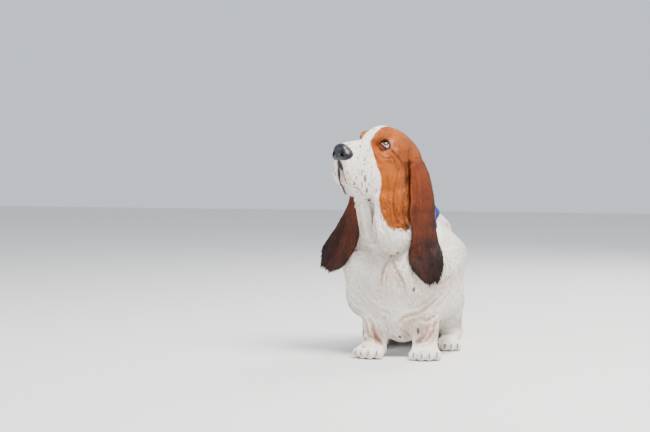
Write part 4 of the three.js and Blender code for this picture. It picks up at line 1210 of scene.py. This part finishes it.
def lid_rings(side):
    """The rings of points of an eye's lids, from the wet rim outwards, and how dark each is."""
    opening = shared_line(OPENING + OPENING[:1], np.arange(LID_STATIONS) / LID_STATIONS)
    middle = opening.mean(axis=0)
    turns = np.arctan2(*(opening - middle).T[::-1])
    below = smoothstep(0.2, 0.9, -np.sin(turns - math.radians(-33)))
    centre, across, up, out = eye_frame(side)
    ball = sizes().eye_radius / MM + 0.4
    rings, darkness = [], []
    for ring in range(LID_RINGS + 1):
        share = (ring / LID_RINGS) ** 1.5
        ring_out = LID_REACH * np.stack([np.cos(turns), np.sin(turns)], axis=1)
        px, py = (opening * (1 - share) + ring_out * share).T
        gap = np.hypot(px - opening[:, 0], py - opening[:, 1])
        ball_height = np.sqrt(np.maximum(ball ** 2 - np.hypot(px, py) ** 2, 6.0))
        thickness = 2.2 * np.sqrt(np.clip(gap / 1.8, 0, 1)) * np.exp(-np.clip(gap - 3, 0, None) / 5)
        furrow = 1.2 * np.exp(-((gap - 5.0) / 1.2) ** 2) * (1 - below)
        bag = 1.6 * np.exp(-((gap - 6.5) / 3.0) ** 2) * below
        over_ball = ball_height + thickness - furrow + bag - 16 * smoothstep(0.3, 1.0, share)
        over_skin = height_over(skin, centre, across, up, out, px, py)
        edge = 1.8 * smoothstep(0.72, 1.0, ring / LID_RINGS)
        height = -smooth_union(-over_ball, -(over_skin + 0.3), 3.0) - edge
        rings.append(centre + px[:, None] * across + py[:, None] * up + height[:, None] * out)
        darkness.append(1 - smoothstep(2.2, 4.8, gap - 1.4 * below))
    rings = [rings[0] - out * 2.5, *rings, rings[-1] - out * 6.0]
    return rings, np.concatenate([darkness[0], *darkness, darkness[-1]])


class HOUND_OT_lids(bpy.types.Operator):
    """The lids round each eye, from their wet rims out into the skin"""

    bl_idname = "hound.lids"
    bl_label = "Lids"

    def execute(self, context):
        for side, word in SIDES:
            rings, rim = lid_rings(side)
            points, faces = stacked(rings)
            points = from_head(points)
            given = markings(points)
            given["marks"][:, 3] = np.maximum(given["marks"][:, 3] * 0.5, rim)
            obj = make_piece("lids_" + word, points, faces[:, ::side], "short coat", **given,
                             strand=np.full(len(points), SKIN_STRAND))
            belongs(obj, "coat")
        return {"FINISHED"}


EAR_ROWS = 120
EAR_COLUMNS = 44

# Soft folds down an ear: height in mm, place and width across it, drift of the place on the way down, and the
# shares of the way down over which each comes in.
EAR_WAVES = [
    (2.6, 0.42, 0.17, -0.25, (0.04, 0.3)),
    (-2.4, 0.05, 0.2, -0.2, (0.1, 0.45)),
    (1.6, -0.5, 0.16, 0.1, (0.3, 0.7)),
]


def ear_wave(rows, columns):
    """How far the folds lift an ear's leaf, at shares of the way down and across it."""
    wave = 0.8 * np.sin(5.5 * columns + 3 * rows) * smoothstep(0.6, 1.0, rows)
    for height, place, width, drift, (start, end) in EAR_WAVES:
        away = (columns - place - drift * rows) / width
        wave = wave + height * np.exp(-away ** 2) * smoothstep(start, end, rows)
    return wave


def ear_grid(ear):
    """Points in the middle of an ear's leaf, by row and column, and how far down and across each lies."""
    side = ear["side"]
    shares = np.linspace(0, 1, EAR_ROWS + 1)
    route = shared_line(ear["route"], shares)
    tangent = unit(np.gradient(route, axis=0))
    front, width, curl = [np.interp(shares * (len(ear[key]) - 1), np.arange(len(ear[key])), ear[key])
                          for key in ("front", "width", "curl")]
    front, span = np.radians(front), np.radians(curl) / 2
    across = np.stack([np.cos(front), np.sin(front), np.zeros(len(front))], axis=1)
    across = unit(across - tangent * np.einsum("ij,ij->i", across, tangent)[:, None])
    outward = np.cross(tangent, across) * -side
    rounding = np.sqrt(1 - smoothstep(0.84, 1.02, shares) ** 2 * 0.9)
    v = np.linspace(-1, 1, EAR_COLUMNS + 1)
    radius = (width / 2 * rounding / span)[:, None]
    turn = span[:, None] * v[None]
    grid = (route[:, None] + across[:, None] * (radius * np.sin(turn))[..., None]
            + outward[:, None] * (radius * (np.cos(turn) - 1))[..., None])
    rows, columns = np.meshgrid(shares, v, indexing="ij")
    grid = grid + outward[:, None] * ear_wave(rows, columns)[..., None]
    ragged = (1.9 * np.sin(9.1 * v + side) + 1.3 * np.sin(21.0 * v + 2) + 0.8 * np.sin(43.0 * v))
    grid = grid + tangent[:, None] * (ragged[None] * smoothstep(0.93, 1.0, rows))[..., None]
    return clear_of_flesh(grid, smoothstep(0.02, 0.16, rows).ravel()), rows, columns


# An ear's root lies this deep in the flesh, and the rest of the ear this far off it, in mm.
EAR_ROOTED = 14
EAR_CLEAR = 4.5


def clear_of_flesh(grid, off):
    """An ear's grid, pushed out evenly to where it clears the flesh."""
    flat = grid.reshape(-1, 3).copy()
    clear = -EAR_ROOTED + (sizes().ear_thickness / MM / 2 + EAR_CLEAR + EAR_ROOTED) * off
    for _ in range(5):
        gap = flesh(flat)
        close = gap < clear
        flat[close] += unit(gradient(flesh, flat[close], 1.0)) * ((clear - gap)[close] * 0.8)[:, None]
        pushed = np.pad(flat.reshape(grid.shape) - grid, ((6, 6), (3, 3), (0, 0)), mode="edge")
        for axis, reach in ((0, 13), (1, 7)):
            weights = np.hanning(reach + 2)[1:-1] * 2 / (reach + 1)
            pushed = np.apply_along_axis(np.convolve, axis, pushed, weights, mode="valid")
        flat = (grid + pushed).reshape(-1, 3)
    return flat.reshape(grid.shape)


class HOUND_OT_ears(bpy.types.Operator):
    """Both ears: curved leaves of skin with soft folds and a ragged tip"""

    bl_idname = "hound.ears"
    bl_label = "Ears"

    def execute(self, context):
        for word, ear in EARS.items():
            grid, rows, columns = ear_grid(ear)
            out = unit(np.cross(np.gradient(grid, axis=0), np.gradient(grid, axis=1))) * ear["side"]
            rim = np.minimum(1, np.minimum((1 - rows) * 30, (1 - np.abs(columns)) * 9))
            half = sizes().ear_thickness / MM / 2 * np.sqrt(0.08 + 0.92 * np.clip(rim, 0, 1))
            points = np.concatenate([(grid + out * lift[..., None]).reshape(-1, 3) for lift in (half, -half)])
            at = np.arange(rows.size).reshape(rows.shape)
            sheet = np.stack([at[:-1, :-1], at[1:, :-1], at[1:, 1:], at[:-1, 1:]], axis=-1).reshape(-1, 4)
            rim_line = np.concatenate([at[0, :-1], at[:-1, -1], at[-1, :0:-1], at[:0:-1, 0]])
            onward = np.roll(rim_line, -1)
            edge = np.stack([rim_line, onward, onward + at.size, rim_line + at.size], axis=-1)
            points, faces = facing_out(points, np.concatenate([sheet, sheet[:, ::-1] + at.size, edge]))
            # golden is the painted highlight on the ear's front edge.
            tone, golden = ear_tones(ear, rows.ravel(), columns.ravel())
            obj = make_piece("ear_" + word + "_leaf", points, faces, "ear coat", down=np.tile(tone, 2),
                             rim=np.tile(golden, 2), strand=np.full(len(points), SKIN_STRAND))
            belongs(obj, "ear_coat", "ear_" + word)
        return {"FINISHED"}


def ear_tones(ear, rows, columns):
    """How dark an ear is, and how golden its front edge is: a painted highlight where the edge catches the
    light.
    """
    low, first, second = ear["tones"]
    tone = low
    for (start, end), rise in (first, second):
        tone = tone + rise * smoothstep(start, end, rows)
    tone = tone + 0.14 * smoothstep(0.5, -1.0, columns)
    # Painted highlight: the front edge, towards the root, lightened towards golden where it catches the
    # light.
    golden = 0.55 * smoothstep(0.8, 0.98, columns) * smoothstep(0.75, 0.3, rows) * ear["edge_highlight"]
    return np.clip(tone, 0, 1), golden


TUFT_POINTS = 6

# A tuft's eight faces, and its place on the unwrap round its root's.
TUFT_FACES = np.array([
    (0, 1, 4), (0, 4, 3), (3, 4, 5), (0, 3, 2), (3, 5, 2), (5, 4, 2), (4, 1, 2), (1, 0, 2)])

TUFT_PATCH = np.array([(-1, -1), (1, -1), (0, -1), (-0.8, 0.1), (0.8, 0.1), (0, 1)]) * 0.0014


def blades(roots, out, along, length, width, lift, seed):
    """Thin closed tufts that lie along the coat."""
    rng = np.random.default_rng(seed)
    count = len(roots)
    along = unit(along + np.cross(out, along) * rng.normal(0, 0.22, count)[:, None])
    side = np.cross(out, along)
    length, width, lift = [v[:, None] for v in (length, width, lift)]
    base = roots - out * 0.5
    middle = roots + along * length * 0.5 + out * (0.25 + lift * 0.75)
    tip = roots + along * length + out * lift * rng.uniform(0.6, 1.3, count)[:, None]
    made = np.stack([base - side * width / 2, base + side * width / 2, base - out * 0.5,
                     middle - side * width * 0.42, middle + side * width * 0.42, tip], axis=1)
    faces = (TUFT_FACES[None] + TUFT_POINTS * np.arange(count)[:, None, None]).reshape(-1, 3)
    return made.reshape(-1, 3), faces


def tuft_piece(name, tufts, places, finish, **attributes):
    """A piece of tufts, with each tuft's own values at all its points and its patch on the unwrap."""
    points, faces = tufts
    spread = {key: np.repeat(values, TUFT_POINTS, axis=0) for key, values in attributes.items()}
    obj = make_piece(name, points, faces, finish, **spread)
    corners = read_out(obj.data.loops, "vertex_index", 1, np.int64).ravel()
    patches = (places[:, None] + TUFT_PATCH[None]).reshape(-1, 2)[corners]
    obj.data.uv_layers.new(name="OFBake").data.foreach_set("uv", patches.astype(np.float32).ravel())
    return obj


# Each pair of legs on the unwrap: least x, least and most y, and the axis that it is rolled round, in mm.
LEG_BOXES = [(44, (-425, -240), (66, -330)), (66, (-250, 60), (88, -90))]


def skin_unwrap(points):
    """Where points lie on an unwrap of the skin, each part rolled flat round its axis in its own cell."""
    x, y, z = points.T
    ahead, leftward, above = to_head(points).T
    head = ahead * 0.611 + above * 0.79 > -68
    body = (np.full(len(points), True), np.arctan2(x, -(y + 190) * 0.55 + z - 150), (y + 430 - 0.3 * z) / 620)
    neck = (z > 304 + (y + 290) * 0.577, np.arctan2(x, y + 276), (z - 250) / 260)
    face = (head, np.arctan2(leftward, above + 40), (ahead + 110) / 290)
    tail = (y > 88, np.arctan2(x + 30, z - 20), (y - 80) / 260)
    parts = [(2, body), (1, neck), (0, face), (3, tail)]
    for pair, (inner, (ahead_end, rear_end), axis) in enumerate(LEG_BOXES):
        for second, (sign, _) in enumerate(SIDES):
            leg = (x * sign > inner) & (y > ahead_end) & (y < rear_end) & (z < 172) & ~head
            turn = np.arctan2(x * sign - axis[0], y - axis[1])
            parts.append((4 + 2 * pair + second, (leg, turn, z / 210)))
    cells, angle, run = np.zeros((3, len(points)))
    for cell, (inside, turn, along) in parts:
        cells[inside], angle[inside], run[inside] = cell, turn[inside], along[inside]
    u = (cells % 3 + 0.04 + 0.92 * (angle / (2 * np.pi) + 0.5)) / 3
    v = (cells // 3 + 0.04 + 0.92 * np.clip(run, 0, 1)) / 3
    return np.stack([u, v], axis=1)


def lie_of(points):
    """The way the coat lies: from the nose back over the head, and back and down over the body."""
    _, y, z = points.T
    ahead, _, above = to_head(points).T
    below = smoothstep(20, -60, above)[:, None]
    over_head = (-FORWARD * 0.85 - UP * 0.35) * (1 - below) + (-FORWARD * 0.35 - UP * 0.95) * below
    way = np.array([0.0, 0.55, -0.8])
    for share, towards in (
            (smoothstep(-300, -380, y), (0.0, 0.1, -1.0)),  # chest
            (smoothstep(-160, -60, y), (0.0, 0.8, -0.6)),  # flanks
            (smoothstep(150, 90, z), (0.0, -0.1, -1.0)),  # legs
            (smoothstep(44, 28, z) * (y < -100), (0.0, -1.0, -0.35)),  # feet
            (smoothstep(60, 110, y), (-0.25, 0.95, -0.2)),  # tail
            (smoothstep(-170, -90, above) * smoothstep(-110, -80, ahead), over_head)):
        way = way * (1 - share[:, None]) + np.array(towards) * share[:, None]
    return way


def read_out(items, key, width, kind=float):
    """A value of every item of a mesh, as rows of the given width."""
    values = np.empty(len(items) * width, kind)
    items.foreach_get(key, values)
    return values.reshape(-1, width)


def scattered(obj, count, seed, weight=None):
    """Points spread over a mesh's faces by area, in mm, with the normals there."""
    mesh = obj.data
    faces = read_out(mesh.polygons, "vertices", 4, np.int64)
    places = read_out(mesh.vertices, "co", 3) / MM
    normals = read_out(mesh.vertices, "normal", 3)
    corners = places[faces]
    area = np.linalg.norm(np.cross(corners[:, 2] - corners[:, 0], corners[:, 3] - corners[:, 1]), axis=1) / 2
    if weight is not None:
        area = area * weight(corners.mean(axis=1))
    rng = np.random.default_rng(seed)
    run = np.cumsum(area)
    face = np.searchsorted(run, (np.arange(count) + rng.uniform(0, 1, count)) / count * run[-1])
    face = np.minimum(face, len(faces) - 1)
    s, t = rng.uniform(0, 1, (2, count, 1))
    shares = np.stack([(1 - s) * (1 - t), s * (1 - t), s * t, (1 - s) * t], axis=1)
    root = (corners[face] * shares).sum(axis=1)
    normal = unit((normals[faces[face]] * shares).sum(axis=1))
    return root, normal, faces[face], shares


def laid_flat(way, out, share=1.0):
    """Directions with their part along the normals taken away, or a share of it."""
    return unit(way - out * np.einsum("ij,ij->i", way, out)[:, None] * share)


BARE_BELOW = 3  # mm over the floor
BARE_ROUND_EYE = 21


def tuft_density(places):
    """More tufts on the face and the chest, and none where the body rests on the floor."""
    local = to_head(places)
    near_face = smoothstep(-120, -60, local[:, 2]) * smoothstep(-90, -50, local[:, 0])
    front = smoothstep(60, -200, places[:, 1])
    return (0.55 + 1.6 * near_face + 0.75 * front) * (places[:, 2] > BARE_BELOW)


PIECE_TUFTS = 22000


class HOUND_OT_coat(bpy.types.Operator):
    """Tufts over the head and body, thin and overlapping, smallest on the face and feet"""

    bl_idname = "hound.coat"
    bl_label = "Coat"

    def execute(self, context):
        root, out, _, _ = scattered(bpy.data.objects["skin"], sizes().body_tufts, 11, tuft_density)
        clear = (nose_leather(root) > 1.0) & (root[:, 2] > BARE_BELOW)
        for centre in from_head(np.stack([EYE_AT, EYE_AT * (1, -1, 1)])):
            clear &= np.linalg.norm(root - centre, axis=1) > BARE_ROUND_EYE
        root, out = root[clear], out[clear]
        local = to_head(root)
        face = smoothstep(-150, -60, local[:, 2]) * smoothstep(-100, -50, local[:, 0])
        small = np.maximum(face, smoothstep(60, 30, root[:, 2]) * 0.8)
        muzzle_end = smoothstep(95, 140, local[:, 0])
        back_edges = smoothstep(20, 90, root[:, 1]) + 0.6 * smoothstep(-330, -390, root[:, 1])
        rng = np.random.default_rng(12)
        length = (10.0 - 5.2 * small - 1.8 * muzzle_end) * rng.uniform(0.7, 1.25, len(root))
        length = length + 3.0 * back_edges * (1 - small)
        width = (2.0 - 0.95 * small) * rng.uniform(0.75, 1.2, len(root))
        lift = (0.5 - 0.22 * small) * rng.uniform(0.5, 1.5, len(root))
        way = laid_flat(lie_of(root), out)
        given = dict(markings(root), strand=rng.uniform(0, 1, len(root)))
        places = skin_unwrap(root)
        order = np.argsort(-root[:, 2], kind="stable")
        for n, start in enumerate(range(0, len(root), PIECE_TUFTS)):
            some = order[start:start + PIECE_TUFTS]
            own = [values[some] for values in (root, out, way, length, width, lift)]
            points, faces = blades(*own, seed=20 + n)
            points[:, 2] = np.maximum(points[:, 2], FLOOR_GAP / 2)
            obj = tuft_piece("coat_%d" % (n + 1), (points, faces), places[some], "short coat",
                             **{key: values[some] for key, values in given.items()})
            belongs(obj, "coat")
        return {"FINISHED"}


class HOUND_OT_ear_coat(bpy.types.Operator):
    """Longer silky tufts down both faces of the ears, and past their edges"""

    bl_idname = "hound.ear_coat"
    bl_label = "Coat of the ears"

    def execute(self, context):
        shares = np.linspace(0, 1, 60)
        size = (EAR_ROWS + 1) * (EAR_COLUMNS + 1)
        for n, (word, ear) in enumerate(EARS.items()):
            leaf = bpy.data.objects["ear_" + word + "_leaf"]
            root, out, corners, weights = scattered(leaf, sizes().ear_tufts, 31 + n)
            row, column = np.divmod(corners % size, EAR_COLUMNS + 1)
            row = (row * weights[..., 0]).sum(axis=1) / EAR_ROWS
            column = (column * weights[..., 0]).sum(axis=1) / EAR_COLUMNS * 2 - 1
            tangent = unit(np.gradient(shared_line(ear["route"], shares), axis=0))
            near_edge = smoothstep(0.8, 1.0, np.abs(column))
            near_tip = smoothstep(0.9, 1.0, row)
            way = laid_flat(at_stops(tangent, shares, row), out, (1 - 0.7 * near_tip)[:, None])
            rng = np.random.default_rng(41 + n)
            length = (7.0 + 2 * near_edge + 1.5 * near_tip) * rng.uniform(0.6, 1.3, len(root))
            width = 1.5 * rng.uniform(0.7, 1.25, len(root))
            lift = (0.55 + 0.5 * near_edge) * rng.uniform(0.3, 1.5, len(root))
            # golden is the painted highlight on the ear's front edge.
            tone, golden = ear_tones(ear, row, column)
            back = (corners[:, 0] >= size).astype(float)
            u = (back + 0.05 + 0.9 * (column + 1) / 2) / 2
            places = np.stack([u, 0.03 + 0.94 * np.clip(row, 0, 1)], axis=1)
            tufts = blades(root, out, way, length, width, lift, seed=51 + n)
            obj = tuft_piece("ear_coat_" + word, tufts, places, "ear coat", down=tone, rim=golden,
                             strand=rng.uniform(0, 1, len(root)))
            belongs(obj, "ear_coat")
        return {"FINISHED"}


# A claw's sizes in metres, its width as a share of its height, and how far it droops.
CLAW = dict(radius=0.0036, tip_radius=0.000792, length=0.015, width=0.78, hook=0.0022, droop=math.radians(38))


def new_claw(paw, end, radius):
    """A claw at the end of a left foot's toe."""
    clear_selection()
    bpy.ops.mesh.primitive_cone_add(
        vertices=12, radius1=CLAW["radius"], radius2=CLAW["tip_radius"], depth=CLAW["length"])
    claw = bpy.context.object
    edit_all(claw, bpy.ops.mesh.subdivide, number_cuts=3)
    for vertex in claw.data.vertices:
        share = vertex.co.z / CLAW["length"] + 0.5
        vertex.co.x *= CLAW["width"]
        vertex.co.y -= CLAW["hook"] * share * share
    splay = math.radians(paw["splay"])
    ahead = Vector((math.sin(splay) * 0.95, -math.cos(splay) * 0.95, 0.1)) * radius
    turn = Matrix.Rotation(splay, 4, "Z") @ Matrix.Rotation(math.pi / 2 + CLAW["droop"], 4, "X")
    claw.data.transform(Matrix.Translation((Vector(end) + ahead) * MM) @ turn)
    return claw


class HOUND_OT_claws(bpy.types.Operator):
    """A blunt horn claw at the end of each toe"""

    bl_idname = "hound.claws"
    bl_label = "Claws"

    def execute(self, context):
        made = []
        for paw in PAWS:
            for _, end, radius in toes_of(paw):
                for side, _ in SIDES:
                    claw = new_claw(paw, end, radius)
                    if side < 0:
                        claw.data.transform(Matrix.Diagonal((-1, 1, 1, 1)))
                        claw.data.flip_normals()
                    for vertex in claw.data.vertices:
                        vertex.co.z = max(vertex.co.z, 0.0003)
                    made.append(claw)
        obj = joined(made, "claws")
        obj.data.materials.append(bpy.data.materials["claw horn"])
        belongs(obj, "coat")
        return {"FINISHED"}


WHISKER_ROWS = 4
WHISKERS_IN_ROW = 6
WHISKER_STATIONS = 9
WHISKER_SIDES = 5
WHISKER_RADIUS = 0.34


def whisker_rings(root, way, length):
    """The rings of points along one whisker, which droops and thins towards its tip."""
    sag = np.array([0, 0, -0.22]) + FORWARD * -0.1
    a = unit(np.cross(way, [0, 0, 1.0]))
    b = np.cross(way, a)
    turns = np.arange(WHISKER_SIDES) * 2 * np.pi / WHISKER_SIDES
    rings = []
    for share in np.arange(WHISKER_STATIONS) / (WHISKER_STATIONS - 1):
        middle = root + way * length * (share - 0.04) + sag * length * share * share
        thick = WHISKER_RADIUS * (1 - 0.85 * share)
        rings.append(middle + thick * (np.cos(turns)[:, None] * a + np.sin(turns)[:, None] * b))
    return rings


class HOUND_OT_whiskers(bpy.types.Operator):
    """White whiskers on both sides of the muzzle"""

    bl_idname = "hound.whiskers"
    bl_label = "Whiskers"

    def execute(self, context):
        rng = np.random.default_rng(61)
        longest = sizes().whisker_length / MM
        roots, ways, lengths = [], [], []
        for side, _ in SIDES:
            for row in range(WHISKER_ROWS):
                for n in range(WHISKERS_IN_ROW):
                    ahead, below = 134 - 9 * n + rng.normal(0, 2), 42 + 9 * row - rng.normal(0, 2)
                    roots.append((ahead, side * 34, -below))
                    ways.append((0.15 - 0.16 * n, side * (0.8 + 0.1 * n), -0.55 - 0.15 * row))
                    lengths.append(longest * rng.uniform(0.35, 1.0) * (0.6 + 0.08 * n))
        roots = drawn_onto(skin, from_head(np.array(roots)), passes=8, furthest=6.0)
        ways = unit(unit(np.array(ways)) @ HEAD_AXES + 0.6 * unit(gradient(skin, roots)))
        points, faces = [], []
        for root, way, length in zip(roots, ways, lengths):
            first = len(points) * WHISKER_SIDES
            points.extend(whisker_rings(root, way, length))
            for low in range(first, first + (WHISKER_STATIONS - 1) * WHISKER_SIDES, WHISKER_SIDES):
                for k in range(WHISKER_SIDES):
                    after = (k + 1) % WHISKER_SIDES
                    faces.append([low + k, low + after, low + WHISKER_SIDES + after, low + WHISKER_SIDES + k])
            last = len(points) * WHISKER_SIDES
            faces.append(list(reversed(range(first, first + WHISKER_SIDES))))
            faces.append(list(range(last - WHISKER_SIDES, last)))
        obj = make_piece("whiskers", np.concatenate(points), faces, "whisker")
        edit_all(obj, bpy.ops.mesh.normals_make_consistent, inside=False)
        clear_selection()
        belongs(obj, "coat")
        return {"FINISHED"}


def collar_point(turn, height, radius):
    y, cos, sin = radius * math.sin(turn), math.cos(COLLAR_TILT), math.sin(COLLAR_TILT)
    return COLLAR_CENTRE + np.array([radius * math.cos(turn), y * cos - height * sin, y * sin + height * cos])


def neck_radii(turns, height):
    """How far out from the collar's axis the neck's surface lies."""
    radii = np.full(len(turns), 20.0)
    for _ in range(260):
        places = np.array([collar_point(t, height, r) for t, r in zip(turns, radii)])
        inside = trunk(places) < 0.8
        if not inside.any():
            break
        radii[inside] += 0.5
    return radii


# The webbing's cross section: shares of the way across it, and of its thickness.
STRAP_PROFILE = [(0.0, 0.15), (0.0, 0.7), (0.04, 1.0), (0.12, 0.92), (0.3, 0.9), (0.5, 0.9), (0.7, 0.9),
                 (0.88, 0.92), (0.96, 1.0), (1.0, 0.7), (1.0, 0.15), (0.75, 0.0), (0.25, 0.0)]

STRAP_STATIONS = 120
STRAP_LIFT = 0.2

# The weave's checks: how many turn round the collar, and their height in mm.
WEAVE_ROUND = 85 / 1.6
WEAVE_HEIGHT = 1.1


def strap(name, low, high, thickness, finish):
    """A band round the neck between two heights, with rounded edges."""
    turns = np.arange(STRAP_STATIONS) * 2 * np.pi / STRAP_STATIONS
    ends = [neck_radii(turns, height) for height in (low, high)]
    ends = [(e + np.roll(e, 1) + np.roll(e, -1)) / 3 for e in ends]
    rings, weave = [], []
    for turn, inner, outer in zip(turns, *ends):
        ring = []
        for across, out in STRAP_PROFILE:
            height = low + (high - low) * across
            radius = inner + (outer - inner) * across + STRAP_LIFT + thickness * out
            ring.append(collar_point(turn, height, radius))
            weave.append((turn * WEAVE_ROUND, height / WEAVE_HEIGHT, 0, 1))
        rings.append(ring)
    points, faces = facing_out(*stacked(rings))
    return make_piece(name, points, faces, finish, weave=np.array(weave))


# The collar's ring and slide: radii of the hoop and its wire in metres, how flat it is, its turn round the
# neck in radians, and its height and distance out in mm.
COLLAR_HOOPS = [
    dict(radii=(0.009, 0.0014), flat=1.0, turn=math.radians(8), height=12.0, out=1.2),
    dict(radii=(0.016, 0.0015), flat=0.55, turn=math.radians(8) + 0.25, height=0.0, out=0.6),
]

STRIP_WIDTH = 7.0
STRIP_GAP = 0.4


class HOUND_OT_collar(bpy.types.Operator):
    """The webbing collar, its dark strip, slide and ring"""

    bl_idname = "hound.collar"
    bl_label = "Collar"

    def execute(self, context):
        half = sizes().collar_width / MM / 2
        thick = sizes().collar_thickness / MM
        band = strap("collar_webbing", -half, half - STRIP_WIDTH, thick - 0.6, "collar webbing")
        belongs(band, "webbing", "collar")
        dark = strap("collar_strip", half - STRIP_WIDTH + STRIP_GAP, half, thick - 0.9, "collar strip")
        belongs(dark, "webbing")
        radius = neck_radii(np.array([COLLAR_HOOPS[0]["turn"]]), half - 4)[0] + thick
        clear_selection()
        made = []
        for hoop in COLLAR_HOOPS:
            major, minor = hoop["radii"]
            bpy.ops.mesh.primitive_torus_add(
                major_radius=major, minor_radius=minor, major_segments=40, minor_segments=12)
            made.append(bpy.context.object)
            place = collar_point(hoop["turn"], hoop["height"], radius + hoop["out"])
            made[-1].matrix_world = (
                Matrix.Translation(Vector(place * MM)) @ Matrix.Rotation(COLLAR_TILT, 4, "X")
                @ Matrix.Rotation(hoop["turn"], 4, "Z") @ Matrix.Rotation(math.pi / 2, 4, "Y")
                @ Matrix.Diagonal((1.0, hoop["flat"], 1.0, 1.0)))
        obj = joined(made, "collar_metal")
        obj.data.materials.append(bpy.data.materials["collar metal"])
        belongs(obj, "webbing")
        return {"FINISHED"}


# The studio's lamps: place, size and power, and the tint of the light.
LAMPS = {
    "key": ((1.1, -1.3, 2.7), 1.2, 225, (1.0, 0.97, 0.93)),
    "fill": ((-2.2, -1.8, 1.2), 2.0, 40, (0.93, 0.96, 1.0)),
    "back": ((0.9, 1.9, 2.1), 1.4, 80, (1.0, 0.98, 0.95)),
}

LAMPS_AIM = (0, -0.25, 0.3)
SKY_STRENGTH = 0.92
FLOOR_SIZE = 14
LENS = 85
SENSOR_WIDTH = 36

# The sketch's width and its middle, where the camera points.
SKETCH_WIDTH = 650
SKETCH_MIDDLE = (325, 216)


class HOUND_OT_stage(bpy.types.Operator):
    """A plain pale floor, soft studio light and the camera"""

    bl_idname = "hound.stage"
    bl_label = "Stage"

    def execute(self, context):
        scene = context.scene
        clear_selection()
        bpy.ops.mesh.primitive_plane_add(size=FLOOR_SIZE)
        floor = context.object
        floor.name = "studio_floor"
        floor.data.materials.append(bpy.data.materials["studio floor"])
        scene.world = bpy.data.worlds.new("studio")
        scene.world.use_nodes = True
        sky = scene.world.node_tree.nodes["Background"].inputs
        sky["Color"].default_value = rgba(colours().sky)
        sky["Strength"].default_value = SKY_STRENGTH
        for name, (at, size, power, tint) in LAMPS.items():
            data = bpy.data.lights.new(name, "AREA")
            data.size, data.energy, data.color = size, power, tint
            lamp = bpy.data.objects.new(name, data)
            scene.collection.objects.link(lamp)
            lamp.location = at
            lamp.rotation_euler = (Vector(LAMPS_AIM) - Vector(at)).to_track_quat("-Z", "Y").to_euler()
        data = bpy.data.cameras.new("camera")
        data.lens, data.sensor_width = LENS, SENSOR_WIDTH
        camera = bpy.data.objects.new("camera", data)
        scene.collection.objects.link(camera)
        away = SKETCH_WIDTH * LENS / SENSOR_WIDTH * SKETCH_UNIT
        right = (SKETCH_MIDDLE[0] - SKETCH_ZERO[0]) * SKETCH_UNIT
        up = (SKETCH_ZERO[1] - SKETCH_MIDDLE[1]) * SKETCH_UNIT
        target = SKETCH_ORIGIN + right * VIEW_RIGHT + up * VIEW_UP
        camera.location = Vector((target + TOWARDS_VIEW * away) * MM)
        camera.rotation_euler = Matrix([VIEW_RIGHT, VIEW_UP, TOWARDS_VIEW]).transposed().to_euler()
        scene.camera = camera
        return {"FINISHED"}


class HOUND_PT_panel(bpy.types.Panel):
    """The sizes, colours and pieces of the hound"""

    bl_idname = "HOUND_PT_panel"
    bl_label = "Basset hound"
    bl_space_type = "VIEW_3D"
    bl_region_type = "UI"
    bl_category = "Hound"

    def draw(self, context):
        for group in (sizes(), colours()):
            box = self.layout.box()
            for key in group.__annotations__:
                box.prop(group, key)
        for operator in OPERATORS:
            self.layout.operator(operator.bl_idname)


OPERATORS = [
    HOUND_OT_finishes, HOUND_OT_skin, HOUND_OT_nose, HOUND_OT_eyes, HOUND_OT_lids, HOUND_OT_ears,
    HOUND_OT_coat, HOUND_OT_ear_coat, HOUND_OT_claws, HOUND_OT_whiskers, HOUND_OT_collar, HOUND_OT_stage,
]
CLASSES = [HoundSizes, HoundColours, *OPERATORS, HOUND_PT_panel]


def register():
    for item in CLASSES:
        bpy.utils.register_class(item)
    bpy.types.Scene.hound_sizes = bpy.props.PointerProperty(type=HoundSizes)
    bpy.types.Scene.hound_colours = bpy.props.PointerProperty(type=HoundColours)


def unregister():
    del bpy.types.Scene.hound_sizes
    del bpy.types.Scene.hound_colours
    for item in reversed(CLASSES):
        bpy.utils.unregister_class(item)


def main():
    register()
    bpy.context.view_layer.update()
    for operator in OPERATORS:
        group, name = operator.bl_idname.split(".")
        getattr(getattr(bpy.ops, group), name)()


if __name__ == "__main__":
    main()
